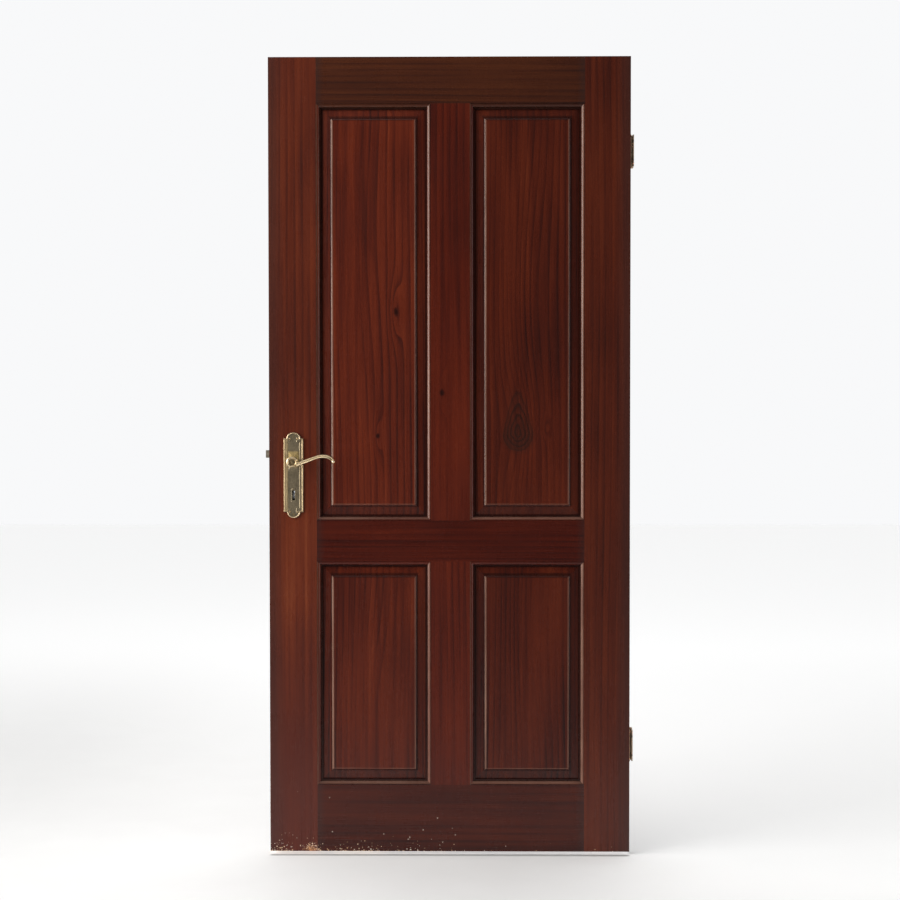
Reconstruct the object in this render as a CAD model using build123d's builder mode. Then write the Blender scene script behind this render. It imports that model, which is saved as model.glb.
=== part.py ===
from build123d import *
import os

os.makedirs("parts", exist_ok=True)

# ---------------------------------------------------------------- leaf
leaf_w = 926.0
leaf_h = 2040.0
leaf_t = 40.0
xl = -leaf_w / 2  # lock edge
xr = leaf_w / 2  # hinge edge
face = leaf_t / 2

lock_stile_w = 122.0
hinge_stile_w = 116.5
mullion_x0 = xl + 415.5
mullion_x1 = xl + 515.5
bottom_rail_h = 172.5
mid_z0 = 750.0
mid_z1 = 855.5
top_z0 = 1921.5

# openings of the frame: x0, x1, z0, z1 at the outer edge of the moulding
ax0 = xl + lock_stile_w
ax1 = mullion_x0
bx0 = mullion_x1
bx1 = xr - hinge_stile_w
openings = {
    "lower_left": (ax0, ax1, bottom_rail_h, mid_z0),
    "lower_right": (bx0, bx1, bottom_rail_h, mid_z0),
    "upper_left": (ax0, ax1, mid_z1, top_z0),
    "upper_right": (bx0, bx1, mid_z1, top_z0),
}

# moulding worked on the frame members (width, and heights above mid-plane)
stick_w = 13.0
quirk = 1.2
ovolo_end_d = 9.5
ovolo_end_h = 11.0
fillet_h = 9.8
groove_d = 3.0  # bottom of the panel groove, from the opening's edge
groove_half = 5.0

# raised and fielded panels
tongue_d = 3.8
tongue_half = 4.9
margin_start_d = 13.5
margin_end_d = 36.0
margin_end_h = 8.2
step_h = 9.4
field_d = 41.5
field_half = 13.5

# dowels of the joints
dowel_r = 6.0
dowel_gap = 0.1
dowel_deep = 60.0
mullion_dowel_deep = 40.0

# ---------------------------------------------------------------- hinges
hinge_h = 80.0
hinge_z = {"upper": 1803.0, "lower": 272.0}
plate_t = 2.8
closed_gap = 3.8
axis_x = xr + plate_t + closed_gap / 2
axis_y = 26.8
barrel_r = 6.5
pin_r = 3.0
pin_run = 0.06
leaf_reach_y = -7.2
knuckle_h = hinge_h / 5
washer_t = 1.0
hinge_hole_r = 2.3  # in the frame's leaf
hinge_hole_door_r = 2.1  # in the door's leaf, filled by its screws
hinge_screw_r = 2.0
hinge_screw_l = 30.0
csk_r = 4.4
hole_inner = (2.0, 10.0)  # y, half spacing in z
hole_outer = (12.0, 29.0)

# ---------------------------------------------------------------- lock
spindle_x = xl + 63.0
spindle_z = 1007.0
key_z = 929.0
key_r = 3.3
key_slot = 4.8
key_slot_end = 20.0
square = 8.0
fore_t = 3.0
fore_half_w = 11.0
fore_z0 = 862.0
fore_z1 = 1094.0
case_x0 = xl + fore_t
case_x1 = xl + 88.0
case_z0 = 899.0
case_z1 = 1055.0
case_half = 7.5
wall = 1.5
cav = case_half - wall
latch_reach = 11.2
latch_z = 1026.0
latch_half_h = 9.8
latch_half_t = 5.6
dead_z = 955.0
dead_half_h = 10.0
dead_travel = 14.0
follower_r = 9.9
bearing_r = 8.0
run = 0.05
arm_R = 17.42
arm_tip = 3.0
lug_gap = 0.7

# ---------------------------------------------------------------- furniture
plate_half_w = 25.5
plate_z0 = 877.0
plate_z1 = 1067.0
lobe_top = (18.0, 15.0)
lobe_bottom = (17.0, 14.8)
plate_screw_z = (1072.5, 871.0)
neck_r = 8.0
bush_r = 10.0
arm_h = 64.5  # mid-plane of the grip above the leaf's mid-plane


def sticking_cutter(x0, x1, z0, z1):
    """Everything the moulding plane removes around one opening, front side."""
    xm = (x0 + x1) / 2
    start = Plane(origin=(xm, 0, z0), x_dir=(0, 0, 1), z_dir=(1, 0, 0))
    with BuildPart() as cutter:
        with BuildLine() as path:
            Polyline((xm, 0, z0), (x1, 0, z0), (x1, 0, z1), (x0, 0, z1), (x0, 0, z0), (xm, 0, z0))
        with BuildSketch(start):
            with BuildLine():
                Polyline((0, face + 4), (0, face - quirk), (quirk, face - quirk))
                ThreePointArc(
                    (quirk, face - quirk),
                    (quirk + (ovolo_end_d - quirk) * 0.7071, ovolo_end_h + (face - quirk - ovolo_end_h) * 0.7071),
                    (ovolo_end_d, ovolo_end_h),
                )
                Polyline(
                    (ovolo_end_d, ovolo_end_h),
                    (ovolo_end_d, fillet_h),
                    (stick_w + 4, fillet_h),
                    (stick_w + 4, face + 4),
                    (0, face + 4),
                )
            make_face()
        sweep(path=path.wires()[0], transition=Transition.RIGHT)
    return cutter.part


def panel_cutter(x0, x1, z0, z1):
    """What is planed off a panel blank to leave tongue, margin and field."""
    xm = (x0 + x1) / 2
    start = Plane(origin=(xm, 0, z0), x_dir=(0, 0, 1), z_dir=(1, 0, 0))
    with BuildPart() as cutter:
        with BuildLine() as path:
            Polyline((xm, 0, z0), (x1, 0, z0), (x1, 0, z1), (x0, 0, z1), (x0, 0, z0), (xm, 0, z0))
        with BuildSketch(start):
            with BuildLine():
                Polyline(
                    (0, field_half + 3),
                    (0, tongue_half),
                    (margin_start_d, tongue_half),
                    (margin_end_d, margin_end_h),
                    (margin_end_d, step_h),
                )
                ThreePointArc(
                    (margin_end_d, step_h),
                    (field_d - (field_d - margin_end_d) * 0.7071, step_h + (field_half - step_h) * 0.7071),
                    (field_d, field_half),
                )
                Polyline((field_d, field_half), (field_d, field_half + 3), (0, field_half + 3))
            make_face()
        sweep(path=path.wires()[0], transition=Transition.RIGHT)
    return cutter.part


def screw_blank(r, head_r, head_h, length, slot_w, slot_d):
    """Countersunk wood screw along -Z with its head's top at z = 0."""
    with BuildPart() as s:
        with BuildSketch(Plane.XZ):
            with BuildLine():
                Polyline(
                    (0, 0),
                    (head_r, 0),
                    (head_r, -0.35),
                    (r, -head_h),
                    (r, -length + 2.5 * r),
                    (0.25, -length),
                    (0, -length),
                    (0, 0),
                )
            make_face()
        revolve(axis=Axis.Z)
        with BuildSketch(Plane.XY):
            Rectangle(3 * head_r, slot_w)
        extrude(amount=-slot_d, mode=Mode.SUBTRACT)
    return s.part


def coil(mean_r, wire_r, height, turns):
    with BuildPart() as c:
        with BuildLine() as path:
            Helix(pitch=height / turns, height=height, radius=mean_r)
        with BuildSketch(Plane(origin=path.line @ 0, z_dir=path.line % 0)):
            Circle(wire_r)
        sweep(path=path.line)
    return c.part


front_cut = {n: sticking_cutter(*o) for n, o in openings.items()}
back_cut = {n: mirror(c, about=Plane.XZ) for n, c in front_cut.items()}


def stile_points(side):
    """Elevation of a stile with the mitred moulding strips beside the openings."""
    if side == "lock":
        outer, inner, s = xl, ax0, 1
    else:
        outer, inner, s = xr, bx1, -1
    t = inner + s * stick_w
    return [
        (outer, 0),
        (inner, 0),
        (inner, bottom_rail_h),
        (t, bottom_rail_h + stick_w),
        (t, mid_z0 - stick_w),
        (inner, mid_z0),
        (inner, mid_z1),
        (t, mid_z1 + stick_w),
        (t, top_z0 - stick_w),
        (inner, top_z0),
        (inner, leaf_h),
        (outer, leaf_h),
        (outer, 0),
    ]


rail_dowel_z = {"bottom": (36.0, 88.0, 140.0), "mid": (776.0, 830.0), "top": (1950.0, 2010.0)}
mullion_cx = (mullion_x0 + mullion_x1) / 2
mullion_dowel_x = (mullion_cx - 22.0, mullion_cx + 22.0)


groove_box = {}
for n, (x0, x1, z0, z1) in openings.items():
    groove_box[n] = Pos((x0 + x1) / 2, 0, (z0 + z1) / 2) * Box(
        x1 - x0 - 2 * groove_d, 2 * groove_half, z1 - z0 - 2 * groove_d
    )

# one drill set for all dowel holes of the leaf
with BuildPart() as dowel_drill:
    for x in (ax0, bx1):
        with BuildSketch(Plane(origin=(x - dowel_deep - 1, 0, 0), x_dir=(0, 1, 0), z_dir=(1, 0, 0))):
            with Locations(*[(0, z) for zs in rail_dowel_z.values() for z in zs]):
                Circle(dowel_r + dowel_gap)
        extrude(amount=2 * dowel_deep + 2)
    for z in (bottom_rail_h, mid_z0, mid_z1, top_z0):
        with BuildSketch(Plane.XY.offset(z - mullion_dowel_deep - 1)):
            with Locations(*[(x, 0) for x in mullion_dowel_x]):
                Circle(dowel_r + dowel_gap)
        extrude(amount=2 * mullion_dowel_deep + 2)


# ---------------------------------------------------------------- lock stile
with BuildPart() as lock_stile:
    with BuildSketch(Plane.XZ):
        with BuildLine():
            Polyline(*stile_points("lock"))
        make_face()
    extrude(amount=face, both=True)
    for n in ("lower_left", "upper_left"):
        add(front_cut[n], mode=Mode.SUBTRACT)
        add(back_cut[n], mode=Mode.SUBTRACT)
        add(groove_box[n], mode=Mode.SUBTRACT)
    add(dowel_drill.part, mode=Mode.SUBTRACT)
    # recess of the forend and mortise of the lock
    with BuildSketch(Plane(origin=(xl, 0, 0), x_dir=(0, 1, 0), z_dir=(1, 0, 0))):
        with Locations((0, (fore_z0 + fore_z1) / 2)):
            SlotOverall(fore_z1 - fore_z0 + 0.4, 2 * fore_half_w + 0.4, rotation=90)
    extrude(amount=fore_t + 0.1, mode=Mode.SUBTRACT)
    with Locations(((xl + case_x1 + 1.5) / 2, 0, (case_z0 + case_z1) / 2)):
        Box(case_x1 + 1.5 - xl, 2 * case_half + 1.0, case_z1 - case_z0 + 5, mode=Mode.SUBTRACT)
    # through holes of the spindle and the key
    with BuildSketch(Plane.XZ):
        with Locations((spindle_x, spindle_z)):
            Circle(13.0)
        with Locations((spindle_x, key_z)):
            Circle(key_r + 0.7)
        with Locations((spindle_x, key_z - key_slot_end / 2)):
            Rectangle(key_slot + 1.0, key_slot_end + 1.0)
    extrude(amount=leaf_t, both=True, mode=Mode.SUBTRACT)
    # pilot holes: forend screws along X, plate screws along Y
    with BuildSketch(Plane(origin=(xl, 0, 0), x_dir=(0, 1, 0), z_dir=(1, 0, 0))):
        with Locations((0, fore_z0 + 10.5), (0, fore_z1 - 10.5)):
            Circle(2.05)
    extrude(amount=32, mode=Mode.SUBTRACT)
    with BuildSketch(Plane.XZ):
        with Locations(*[(spindle_x, z) for z in plate_screw_z]):
            Circle(1.8)
    extrude(amount=leaf_t, both=True, mode=Mode.SUBTRACT)
lock_stile.part.label = "lock_stile"
export_step(lock_stile.part, "parts/lock_stile.step")

# ---------------------------------------------------------------- hinge stile
with BuildPart() as hinge_stile:
    with BuildSketch(Plane.XZ):
        with BuildLine():
            Polyline(*stile_points("hinge"))
        make_face()
    extrude(amount=face, both=True)
    for n in ("lower_right", "upper_right"):
        add(front_cut[n], mode=Mode.SUBTRACT)
        add(back_cut[n], mode=Mode.SUBTRACT)
        add(groove_box[n], mode=Mode.SUBTRACT)
    add(dowel_drill.part, mode=Mode.SUBTRACT)
    for hz in hinge_z.values():
        with BuildSketch(Plane(origin=(xr, 0, 0), x_dir=(0, 1, 0), z_dir=(1, 0, 0))):
            with Locations(
                (hole_inner[0], hz - hole_inner[1]),
                (hole_inner[0], hz + hole_inner[1]),
                (hole_outer[0], hz - hole_outer[1]),
                (hole_outer[0], hz + hole_outer[1]),
            ):
                Circle(hinge_screw_r + 0.05)
        extrude(amount=-hinge_screw_l, mode=Mode.SUBTRACT)
hinge_stile.part.label = "hinge_stile"
export_step(hinge_stile.part, "parts/hinge_stile.step")


# ---------------------------------------------------------------- rails
def top_edge(z, x0, x1):
    return [(x0, z), (x0 + stick_w, z + stick_w), (x1 - stick_w, z + stick_w), (x1, z)]


def low_edge(z, x0, x1):
    return [(x1, z), (x1 - stick_w, z - stick_w), (x0 + stick_w, z - stick_w), (x0, z)]


with BuildPart() as bottom_rail:
    with BuildSketch(Plane.XZ):
        with BuildLine():
            Polyline(
                (ax0, 0),
                *top_edge(bottom_rail_h, ax0, ax1),
                *top_edge(bottom_rail_h, bx0, bx1),
                (bx1, 0),
                (ax0, 0),
            )
        make_face()
    extrude(amount=face, both=True)
    for n in ("lower_left", "lower_right"):
        add(front_cut[n], mode=Mode.SUBTRACT)
        add(back_cut[n], mode=Mode.SUBTRACT)
        add(groove_box[n], mode=Mode.SUBTRACT)
    add(dowel_drill.part, mode=Mode.SUBTRACT)
bottom_rail.part.label = "bottom_rail"
export_step(bottom_rail.part, "parts/bottom_rail.step")

with BuildPart() as mid_rail:
    with BuildSketch(Plane.XZ):
        with BuildLine():
            Polyline(
                *top_edge(mid_z1, ax0, ax1),
                *top_edge(mid_z1, bx0, bx1),
                *low_edge(mid_z0, bx0, bx1),
                *low_edge(mid_z0, ax0, ax1),
                (ax0, mid_z1),
            )
        make_face()
    extrude(amount=face, both=True)
    for n in openings:
        add(front_cut[n], mode=Mode.SUBTRACT)
        add(back_cut[n], mode=Mode.SUBTRACT)
        add(groove_box[n], mode=Mode.SUBTRACT)
    add(dowel_drill.part, mode=Mode.SUBTRACT)
mid_rail.part.label = "mid_rail"
export_step(mid_rail.part, "parts/mid_rail.step")

with BuildPart() as top_rail:
    with BuildSketch(Plane.XZ):
        with BuildLine():
            Polyline(
                (bx1, leaf_h),
                *low_edge(top_z0, bx0, bx1),
                *low_edge(top_z0, ax0, ax1),
                (ax0, leaf_h),
                (bx1, leaf_h),
            )
        make_face()
    extrude(amount=face, both=True)
    for n in ("upper_left", "upper_right"):
        add(front_cut[n], mode=Mode.SUBTRACT)
        add(back_cut[n], mode=Mode.SUBTRACT)
        add(groove_box[n], mode=Mode.SUBTRACT)
    add(dowel_drill.part, mode=Mode.SUBTRACT)
top_rail.part.label = "top_rail"
export_step(top_rail.part, "parts/top_rail.step")


# ---------------------------------------------------------------- mullions
def mullion_outline(z0, z1):
    s = stick_w
    return [
        (mullion_x0, z0),
        (mullion_x1, z0),
        (mullion_x1 + s, z0 + s),
        (mullion_x1 + s, z1 - s),
        (mullion_x1, z1),
        (mullion_x0, z1),
        (mullion_x0 - s, z1 - s),
        (mullion_x0 - s, z0 + s),
        (mullion_x0, z0),
    ]


with BuildPart() as lower_mullion:
    with BuildSketch(Plane.XZ):
        with BuildLine():
            Polyline(*mullion_outline(bottom_rail_h, mid_z0))
        make_face()
    extrude(amount=face, both=True)
    for n in ("lower_left", "lower_right"):
        add(front_cut[n], mode=Mode.SUBTRACT)
        add(back_cut[n], mode=Mode.SUBTRACT)
        add(groove_box[n], mode=Mode.SUBTRACT)
    add(dowel_drill.part, mode=Mode.SUBTRACT)
lower_mullion.part.label = "lower_mullion"
export_step(lower_mullion.part, "parts/lower_mullion.step")

with BuildPart() as upper_mullion:
    with BuildSketch(Plane.XZ):
        with BuildLine():
            Polyline(*mullion_outline(mid_z1, top_z0))
        make_face()
    extrude(amount=face, both=True)
    for n in ("upper_left", "upper_right"):
        add(front_cut[n], mode=Mode.SUBTRACT)
        add(back_cut[n], mode=Mode.SUBTRACT)
        add(groove_box[n], mode=Mode.SUBTRACT)
    add(dowel_drill.part, mode=Mode.SUBTRACT)
upper_mullion.part.label = "upper_mullion"
export_step(upper_mullion.part, "parts/upper_mullion.step")

# ---------------------------------------------------------------- panels
for n, (x0, x1, z0, z1) in openings.items():
    shave = panel_cutter(x0, x1, z0, z1)
    with BuildPart() as panel:
        with Locations(((x0 + x1) / 2, 0, (z0 + z1) / 2)):
            Box(x1 - x0 - 2 * tongue_d, 2 * field_half, z1 - z0 - 2 * tongue_d)
        add(shave, mode=Mode.SUBTRACT)
        add(mirror(shave, about=Plane.XZ), mode=Mode.SUBTRACT)
    panel.part.label = "panel_" + n
    export_step(panel.part, "parts/panel_" + n + ".step")

# ---------------------------------------------------------------- dowels
with BuildPart() as rail_dowels:
    for x in (ax0, bx1):
        with BuildSketch(Plane(origin=(x - dowel_deep, 0, 0), x_dir=(0, 1, 0), z_dir=(1, 0, 0))):
            with Locations(*[(0, z) for zs in rail_dowel_z.values() for z in zs]):
                Circle(dowel_r)
        extrude(amount=2 * dowel_deep)
rail_dowels.part.label = "rail_dowels"
export_step(rail_dowels.part, "parts/rail_dowels.step")

with BuildPart() as mullion_dowels:
    for z in (bottom_rail_h, mid_z0, mid_z1, top_z0):
        with BuildSketch(Plane.XY.offset(z - mullion_dowel_deep)):
            with Locations(*[(x, 0) for x in mullion_dowel_x]):
                Circle(dowel_r)
        extrude(amount=2 * mullion_dowel_deep)
mullion_dowels.part.label = "mullion_dowels"
export_step(mullion_dowels.part, "parts/mullion_dowels.step")

# ---------------------------------------------------------------- hinges
hinge_screw = screw_blank(hinge_screw_r, 3.9, 2.0, hinge_screw_l - 1.5, 1.0, 1.1)

for side, hz in hinge_z.items():
    zb = hz - hinge_h / 2
    levels = [zb + i * knuckle_h for i in range(6)]
    # each knuckle stops half a washer or a hair short of its neighbour
    gap_at = {1: washer_t / 2 + 0.1, 2: 0.15, 3: 0.15, 4: washer_t / 2 + 0.1}
    spans = []
    for i in range(5):
        a = levels[i] + (gap_at[i] if i > 0 else 0)
        b = levels[i + 1] - (gap_at[i + 1] if i < 4 else 0)
        spans.append((a, b))

    for which in ("door", "frame"):
        own = (1, 3) if which == "door" else (0, 2, 4)
        other = (0, 2, 4) if which == "door" else (1, 3)
        px = xr if which == "door" else xr + plate_t + closed_gap
        bore = pin_r + (pin_run if which == "door" else 0.0)
        hole_r = hinge_hole_door_r if which == "door" else hinge_hole_r
        with BuildPart() as hleaf:
            with Locations((px + plate_t / 2, (leaf_reach_y + axis_y) / 2, hz)):
                Box(plate_t, axis_y - leaf_reach_y, hinge_h)
            # room for the other leaf's knuckles
            for i in other:
                a, b = spans[i]
                with Locations((axis_x, axis_y, (a + b) / 2)):
                    Cylinder(barrel_r + 0.4, b - a + 0.5, mode=Mode.SUBTRACT)
            # nothing of the plate between knuckles of the two leaves
            for i in own:
                a, b = spans[i]
                with BuildSketch(Plane.XY.offset(a)):
                    with Locations((axis_x, axis_y)):
                        Circle(barrel_r)
                extrude(amount=b - a)
            with Locations((axis_x, axis_y, hz)):
                Cylinder(bore, hinge_h + 2, mode=Mode.SUBTRACT)
            for i in (1, 2, 3, 4):
                z = levels[i]
                with Locations((axis_x, axis_y, z)):
                    Cylinder(barrel_r + 0.4, 2 * gap_at[i], mode=Mode.SUBTRACT)
            # four countersunk holes, staggered
            csk_x = px + plate_t if which == "door" else px
            zdir = (1, 0, 0) if which == "door" else (-1, 0, 0)
            for y, dz in (hole_inner, hole_outer):
                for s in (-1, 1):
                    with BuildSketch(Plane(origin=(csk_x, y, hz + s * dz), x_dir=(0, 1, 0), z_dir=zdir)):
                        Circle(hole_r)
                    extrude(amount=-plate_t - 1, mode=Mode.SUBTRACT)
                    p = Plane(origin=(csk_x, y, hz + s * dz), x_dir=(0, 1, 0), z_dir=zdir)
                    with BuildSketch(p):
                        Circle(csk_r)
                    with BuildSketch(p.offset(-2.1)):
                        Circle(hole_r)
                    loft(mode=Mode.SUBTRACT)
            corner = hleaf.edges().filter_by(Axis.X).filter_by_position(Axis.Y, leaf_reach_y - 0.1, leaf_reach_y + 0.1)
            fillet(corner, radius=1.5)
        node = "hinge_" + which + "_leaf_" + side
        hleaf.part.label = node
        export_step(hleaf.part, "parts/" + node + ".step")

    with BuildPart() as pin:
        with Locations((axis_x, axis_y, hz)):
            Cylinder(pin_r, hinge_h + 2.0)
        # low button tips above and below the barrel
        with Locations((axis_x, axis_y, hz + hinge_h / 2 + 1.1), (axis_x, axis_y, hz - hinge_h / 2 - 1.1)):
            Cylinder(5.6, 2.2)
        tips = pin.edges().filter_by(GeomType.CIRCLE)
        fillet([tips.sort_by(Axis.Z)[0], tips.sort_by(Axis.Z)[-1]], radius=1.4)
    pin.part.label = "hinge_pin_" + side
    export_step(pin.part, "parts/hinge_pin_" + side + ".step")

    with BuildPart() as washers:
        for z in (levels[1], levels[4]):
            with BuildSketch(Plane.XY.offset(z - washer_t / 2)):
                with Locations((axis_x, axis_y)):
                    Circle(barrel_r - 0.2)
                    Circle(pin_r + 0.05, mode=Mode.SUBTRACT)
            extrude(amount=washer_t)
    washers.part.label = "hinge_washers_" + side
    export_step(washers.part, "parts/hinge_washers_" + side + ".step")

    with BuildPart() as hscrews:
        for y, dz in (hole_inner, hole_outer):
            for s in (-1, 1):
                p = Plane(origin=(xr + plate_t - 0.1, y, hz + s * dz), x_dir=(0, 1, 0), z_dir=(1, 0, 0))
                add(p.location * hinge_screw)
    hscrews.part.label = "hinge_screws_" + side
    export_step(hscrews.part, "parts/hinge_screws_" + side + ".step")

# ---------------------------------------------------------------- forend
with BuildPart() as fore_end:
    with BuildSketch(Plane(origin=(xl, 0, 0), x_dir=(0, 1, 0), z_dir=(1, 0, 0))):
        with Locations((0, (fore_z0 + fore_z1) / 2)):
            SlotOverall(fore_z1 - fore_z0, 2 * fore_half_w, rotation=90)
        with Locations((0, latch_z)):
            Rectangle(2 * latch_half_t + 0.6, 2 * latch_half_h + 0.6, mode=Mode.SUBTRACT)
        with Locations((0, dead_z)):
            Rectangle(2 * latch_half_t + 0.6, 2 * dead_half_h + 0.6, mode=Mode.SUBTRACT)
    extrude(amount=fore_t)
    for z in (fore_z0 + 10.5, fore_z1 - 10.5):
        p = Plane(origin=(xl, 0, z), x_dir=(0, 1, 0), z_dir=(-1, 0, 0))
        with BuildSketch(p):
            Circle(2.1)
        extrude(amount=-fore_t - 1, mode=Mode.SUBTRACT)
        with BuildSketch(p):
            Circle(4.5)
        with BuildSketch(p.offset(-2.3)):
            Circle(2.1)
        loft(mode=Mode.SUBTRACT)
fore_end.part.label = "fore_end"
export_step(fore_end.part, "parts/fore_end.step")

fore_screw = screw_blank(2.0, 3.9, 2.0, 30.0, 1.0, 1.1)
with BuildPart() as fore_end_screws:
    for z in (fore_z0 + 10.5, fore_z1 - 10.5):
        p = Plane(origin=(xl + 0.15, 0, z), x_dir=(0, 1, 0), z_dir=(-1, 0, 0))
        add(p.location * fore_screw)
fore_end_screws.part.label = "fore_end_screws"
export_step(fore_end_screws.part, "parts/fore_end_screws.step")

# ---------------------------------------------------------------- lock case
post_xz = ((case_x1 - 8.0, case_z1 - 9.0), (case_x0 + 10.0, 984.0), (case_x1 - 8.0, case_z0 + 7.0))
pivot_x = spindle_x + 15.5
pivot_z = 968.0


def keyhole_sketch(grow):
    with Locations((spindle_x, key_z)):
        Circle(key_r + grow)
    with Locations((spindle_x, key_z - (key_slot_end - key_slot / 2) / 2)):
        Rectangle(key_slot + 2 * grow, key_slot_end - key_slot / 2)
    with Locations((spindle_x, key_z - key_slot_end + key_slot / 2)):
        Circle(key_slot / 2 + grow)


with BuildPart() as lock_case:
    with Locations(((case_x0 + case_x1) / 2, (case_half - cav) / 2, (case_z0 + case_z1) / 2)):
        Box(case_x1 - case_x0, case_half + cav, case_z1 - case_z0)
    with Locations(((case_x0 + case_x1) / 2, -0.5, (case_z0 + case_z1) / 2)):
        Box(
            case_x1 - case_x0 - 2 * wall, 2 * cav + 1.0, case_z1 - case_z0 - 2 * wall, mode=Mode.SUBTRACT
        )
    # windows of the two bolts in the front wall
    with Locations((case_x0, 0, latch_z)):
        Box(3 * wall, 2 * latch_half_t + 0.6, 2 * latch_half_h + 0.6, mode=Mode.SUBTRACT)
    with Locations((case_x0, 0, dead_z)):
        Box(3 * wall, 2 * latch_half_t + 0.6, 2 * dead_half_h + 0.6, mode=Mode.SUBTRACT)
    # posts: cover screws, tumbler pivot, abutments of the two coil springs
    with BuildSketch(Plane(origin=(0, cav, 0), x_dir=(1, 0, 0), z_dir=(0, -1, 0))):
        with Locations(*post_xz):
            Circle(3.2)
    extrude(amount=2 * cav)
    with BuildSketch(Plane(origin=(0, cav, 0), x_dir=(1, 0, 0), z_dir=(0, -1, 0))):
        with Locations((pivot_x, pivot_z)):
            Circle(2.5)
    extrude(amount=8.0)
    with BuildSketch(Plane(origin=(0, cav, 0), x_dir=(1, 0, 0), z_dir=(0, -1, 0))):
        with Locations((spindle_x - 11.5, latch_z)):
            Rectangle(2.0, 8.0)
    extrude(amount=7.2)
    with BuildSketch(Plane(origin=(0, cav, 0), x_dir=(1, 0, 0), z_dir=(0, -1, 0))):
        with Locations((spindle_x - 39.5, 992.0)):
            Rectangle(3.0, 10.0)
    extrude(amount=11.0)
    # holes through the floor
    with BuildSketch(Plane.XZ):
        with Locations((spindle_x, spindle_z)):
            Circle(bearing_r + run)
        keyhole_sketch(0.3)
    extrude(amount=-20, mode=Mode.SUBTRACT)
    # threaded holes of the cover screws
    with BuildSketch(Plane(origin=(0, -cav, 0), x_dir=(1, 0, 0), z_dir=(0, -1, 0))):
        with Locations(*post_xz):
            Circle(1.25)
    extrude(amount=-8.0, mode=Mode.SUBTRACT)
lock_case.part.label = "lock_case"
export_step(lock_case.part, "parts/lock_case.step")

with BuildPart() as lock_cover:
    with BuildSketch(Plane(origin=(0, -cav, 0), x_dir=(1, 0, 0), z_dir=(0, -1, 0))):
        with Locations(((case_x0 + case_x1) / 2, (case_z0 + case_z1) / 2)):
            Rectangle(case_x1 - case_x0, case_z1 - case_z0)
        with Locations((spindle_x, spindle_z)):
            Circle(bearing_r + run, mode=Mode.SUBTRACT)
        with Locations(*post_xz):
            Circle(1.35, mode=Mode.SUBTRACT)
    extrude(amount=wall)
    with BuildSketch(Plane.XZ):
        keyhole_sketch(0.3)
    extrude(amount=20, mode=Mode.SUBTRACT)
    for x, z in post_xz:
        p = Plane(origin=(x, -case_half, z), x_dir=(1, 0, 0), z_dir=(0, -1, 0))
        with BuildSketch(p):
            Circle(3.0)
        with BuildSketch(p.offset(-1.3)):
            Circle(1.35)
        loft(mode=Mode.SUBTRACT)
lock_cover.part.label = "lock_cover"
export_step(lock_cover.part, "parts/lock_cover.step")

cover_screw = screw_blank(1.2, 2.4, 1.1, 8.0, 0.6, 0.5)
with BuildPart() as lock_cover_screws:
    for x, z in post_xz:
        p = Plane(origin=(x, -case_half + 0.1, z), x_dir=(1, 0, 0), z_dir=(0, -1, 0))
        add(p.location * cover_screw)
lock_cover_screws.part.label = "lock_cover_screws"
export_step(lock_cover_screws.part, "parts/lock_cover_screws.step")

# ---------------------------------------------------------------- follower
with BuildPart() as follower:
    with BuildSketch(Plane(origin=(0, 5.8, 0), x_dir=(1, 0, 0), z_dir=(0, -1, 0))):
        with Locations((spindle_x, spindle_z)):
            Circle(follower_r)
    extrude(amount=11.6)
    with BuildSketch(Plane(origin=(0, 7.4, 0), x_dir=(1, 0, 0), z_dir=(0, -1, 0))):
        with Locations((spindle_x, spindle_z)):
            Circle(bearing_r)
    extrude(amount=14.8)
    # arm that draws the latch
    with BuildSketch(Plane(origin=(0, 5.4, 0), x_dir=(1, 0, 0), z_dir=(0, -1, 0))):
        with Locations((spindle_x, spindle_z + arm_R / 2)):
            Rectangle(2 * arm_tip, arm_R)
        with Locations((spindle_x, spindle_z + arm_R)):
            Circle(arm_tip)
    extrude(amount=6.6)
    # arm that meets the return spring
    with BuildSketch(Plane(origin=(0, 4.5, 0), x_dir=(1, 0, 0), z_dir=(0, -1, 0))):
        with Locations((spindle_x, spindle_z - 10.0)):
            Rectangle(6.0, 20.0)
    extrude(amount=9.0)
    with BuildSketch(Plane.XZ):
        with Locations((spindle_x, spindle_z)):
            Rectangle(square + 0.1, square + 0.1)
    extrude(amount=20, both=True, mode=Mode.SUBTRACT)
follower.part.label = "follower"
export_step(follower.part, "parts/follower.step")

# ---------------------------------------------------------------- latch bolt
latch_tip = xl - latch_reach
lug_x = spindle_x + arm_tip + lug_gap
with BuildPart() as latch_bolt:
    with BuildSketch(Plane.XY.offset(latch_z - latch_half_h)):
        with BuildLine():
            Polyline(
                (latch_tip, latch_half_t),
                (xl + 11.0, latch_half_t),
                (xl + 11.0, -latch_half_t),
                (xl - 0.3, -latch_half_t),
                (latch_tip + 0.8, latch_half_t - 3.0),
                (latch_tip, latch_half_t - 2.0),
                (latch_tip, latch_half_t),
            )
        make_face()
    extrude(amount=2 * latch_half_h)
    with BuildSketch(Plane.XY.offset(latch_z - 6.0)):
        with BuildLine():
            Polyline(
                (xl + 10.5, -latch_half_t),
                (lug_x + 6.0, -latch_half_t),
                (lug_x + 6.0, -2.0),
                (xl + 10.5, -2.0),
                (xl + 10.5, -latch_half_t),
            )
        make_face()
    extrude(amount=12.0)
    with Locations((lug_x + 3.0, 1.7, 1024.5)):
        Box(6.0, 7.4, 12.0)
latch_bolt.part.label = "latch_bolt"
export_step(latch_bolt.part, "parts/latch_bolt.step")

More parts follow.
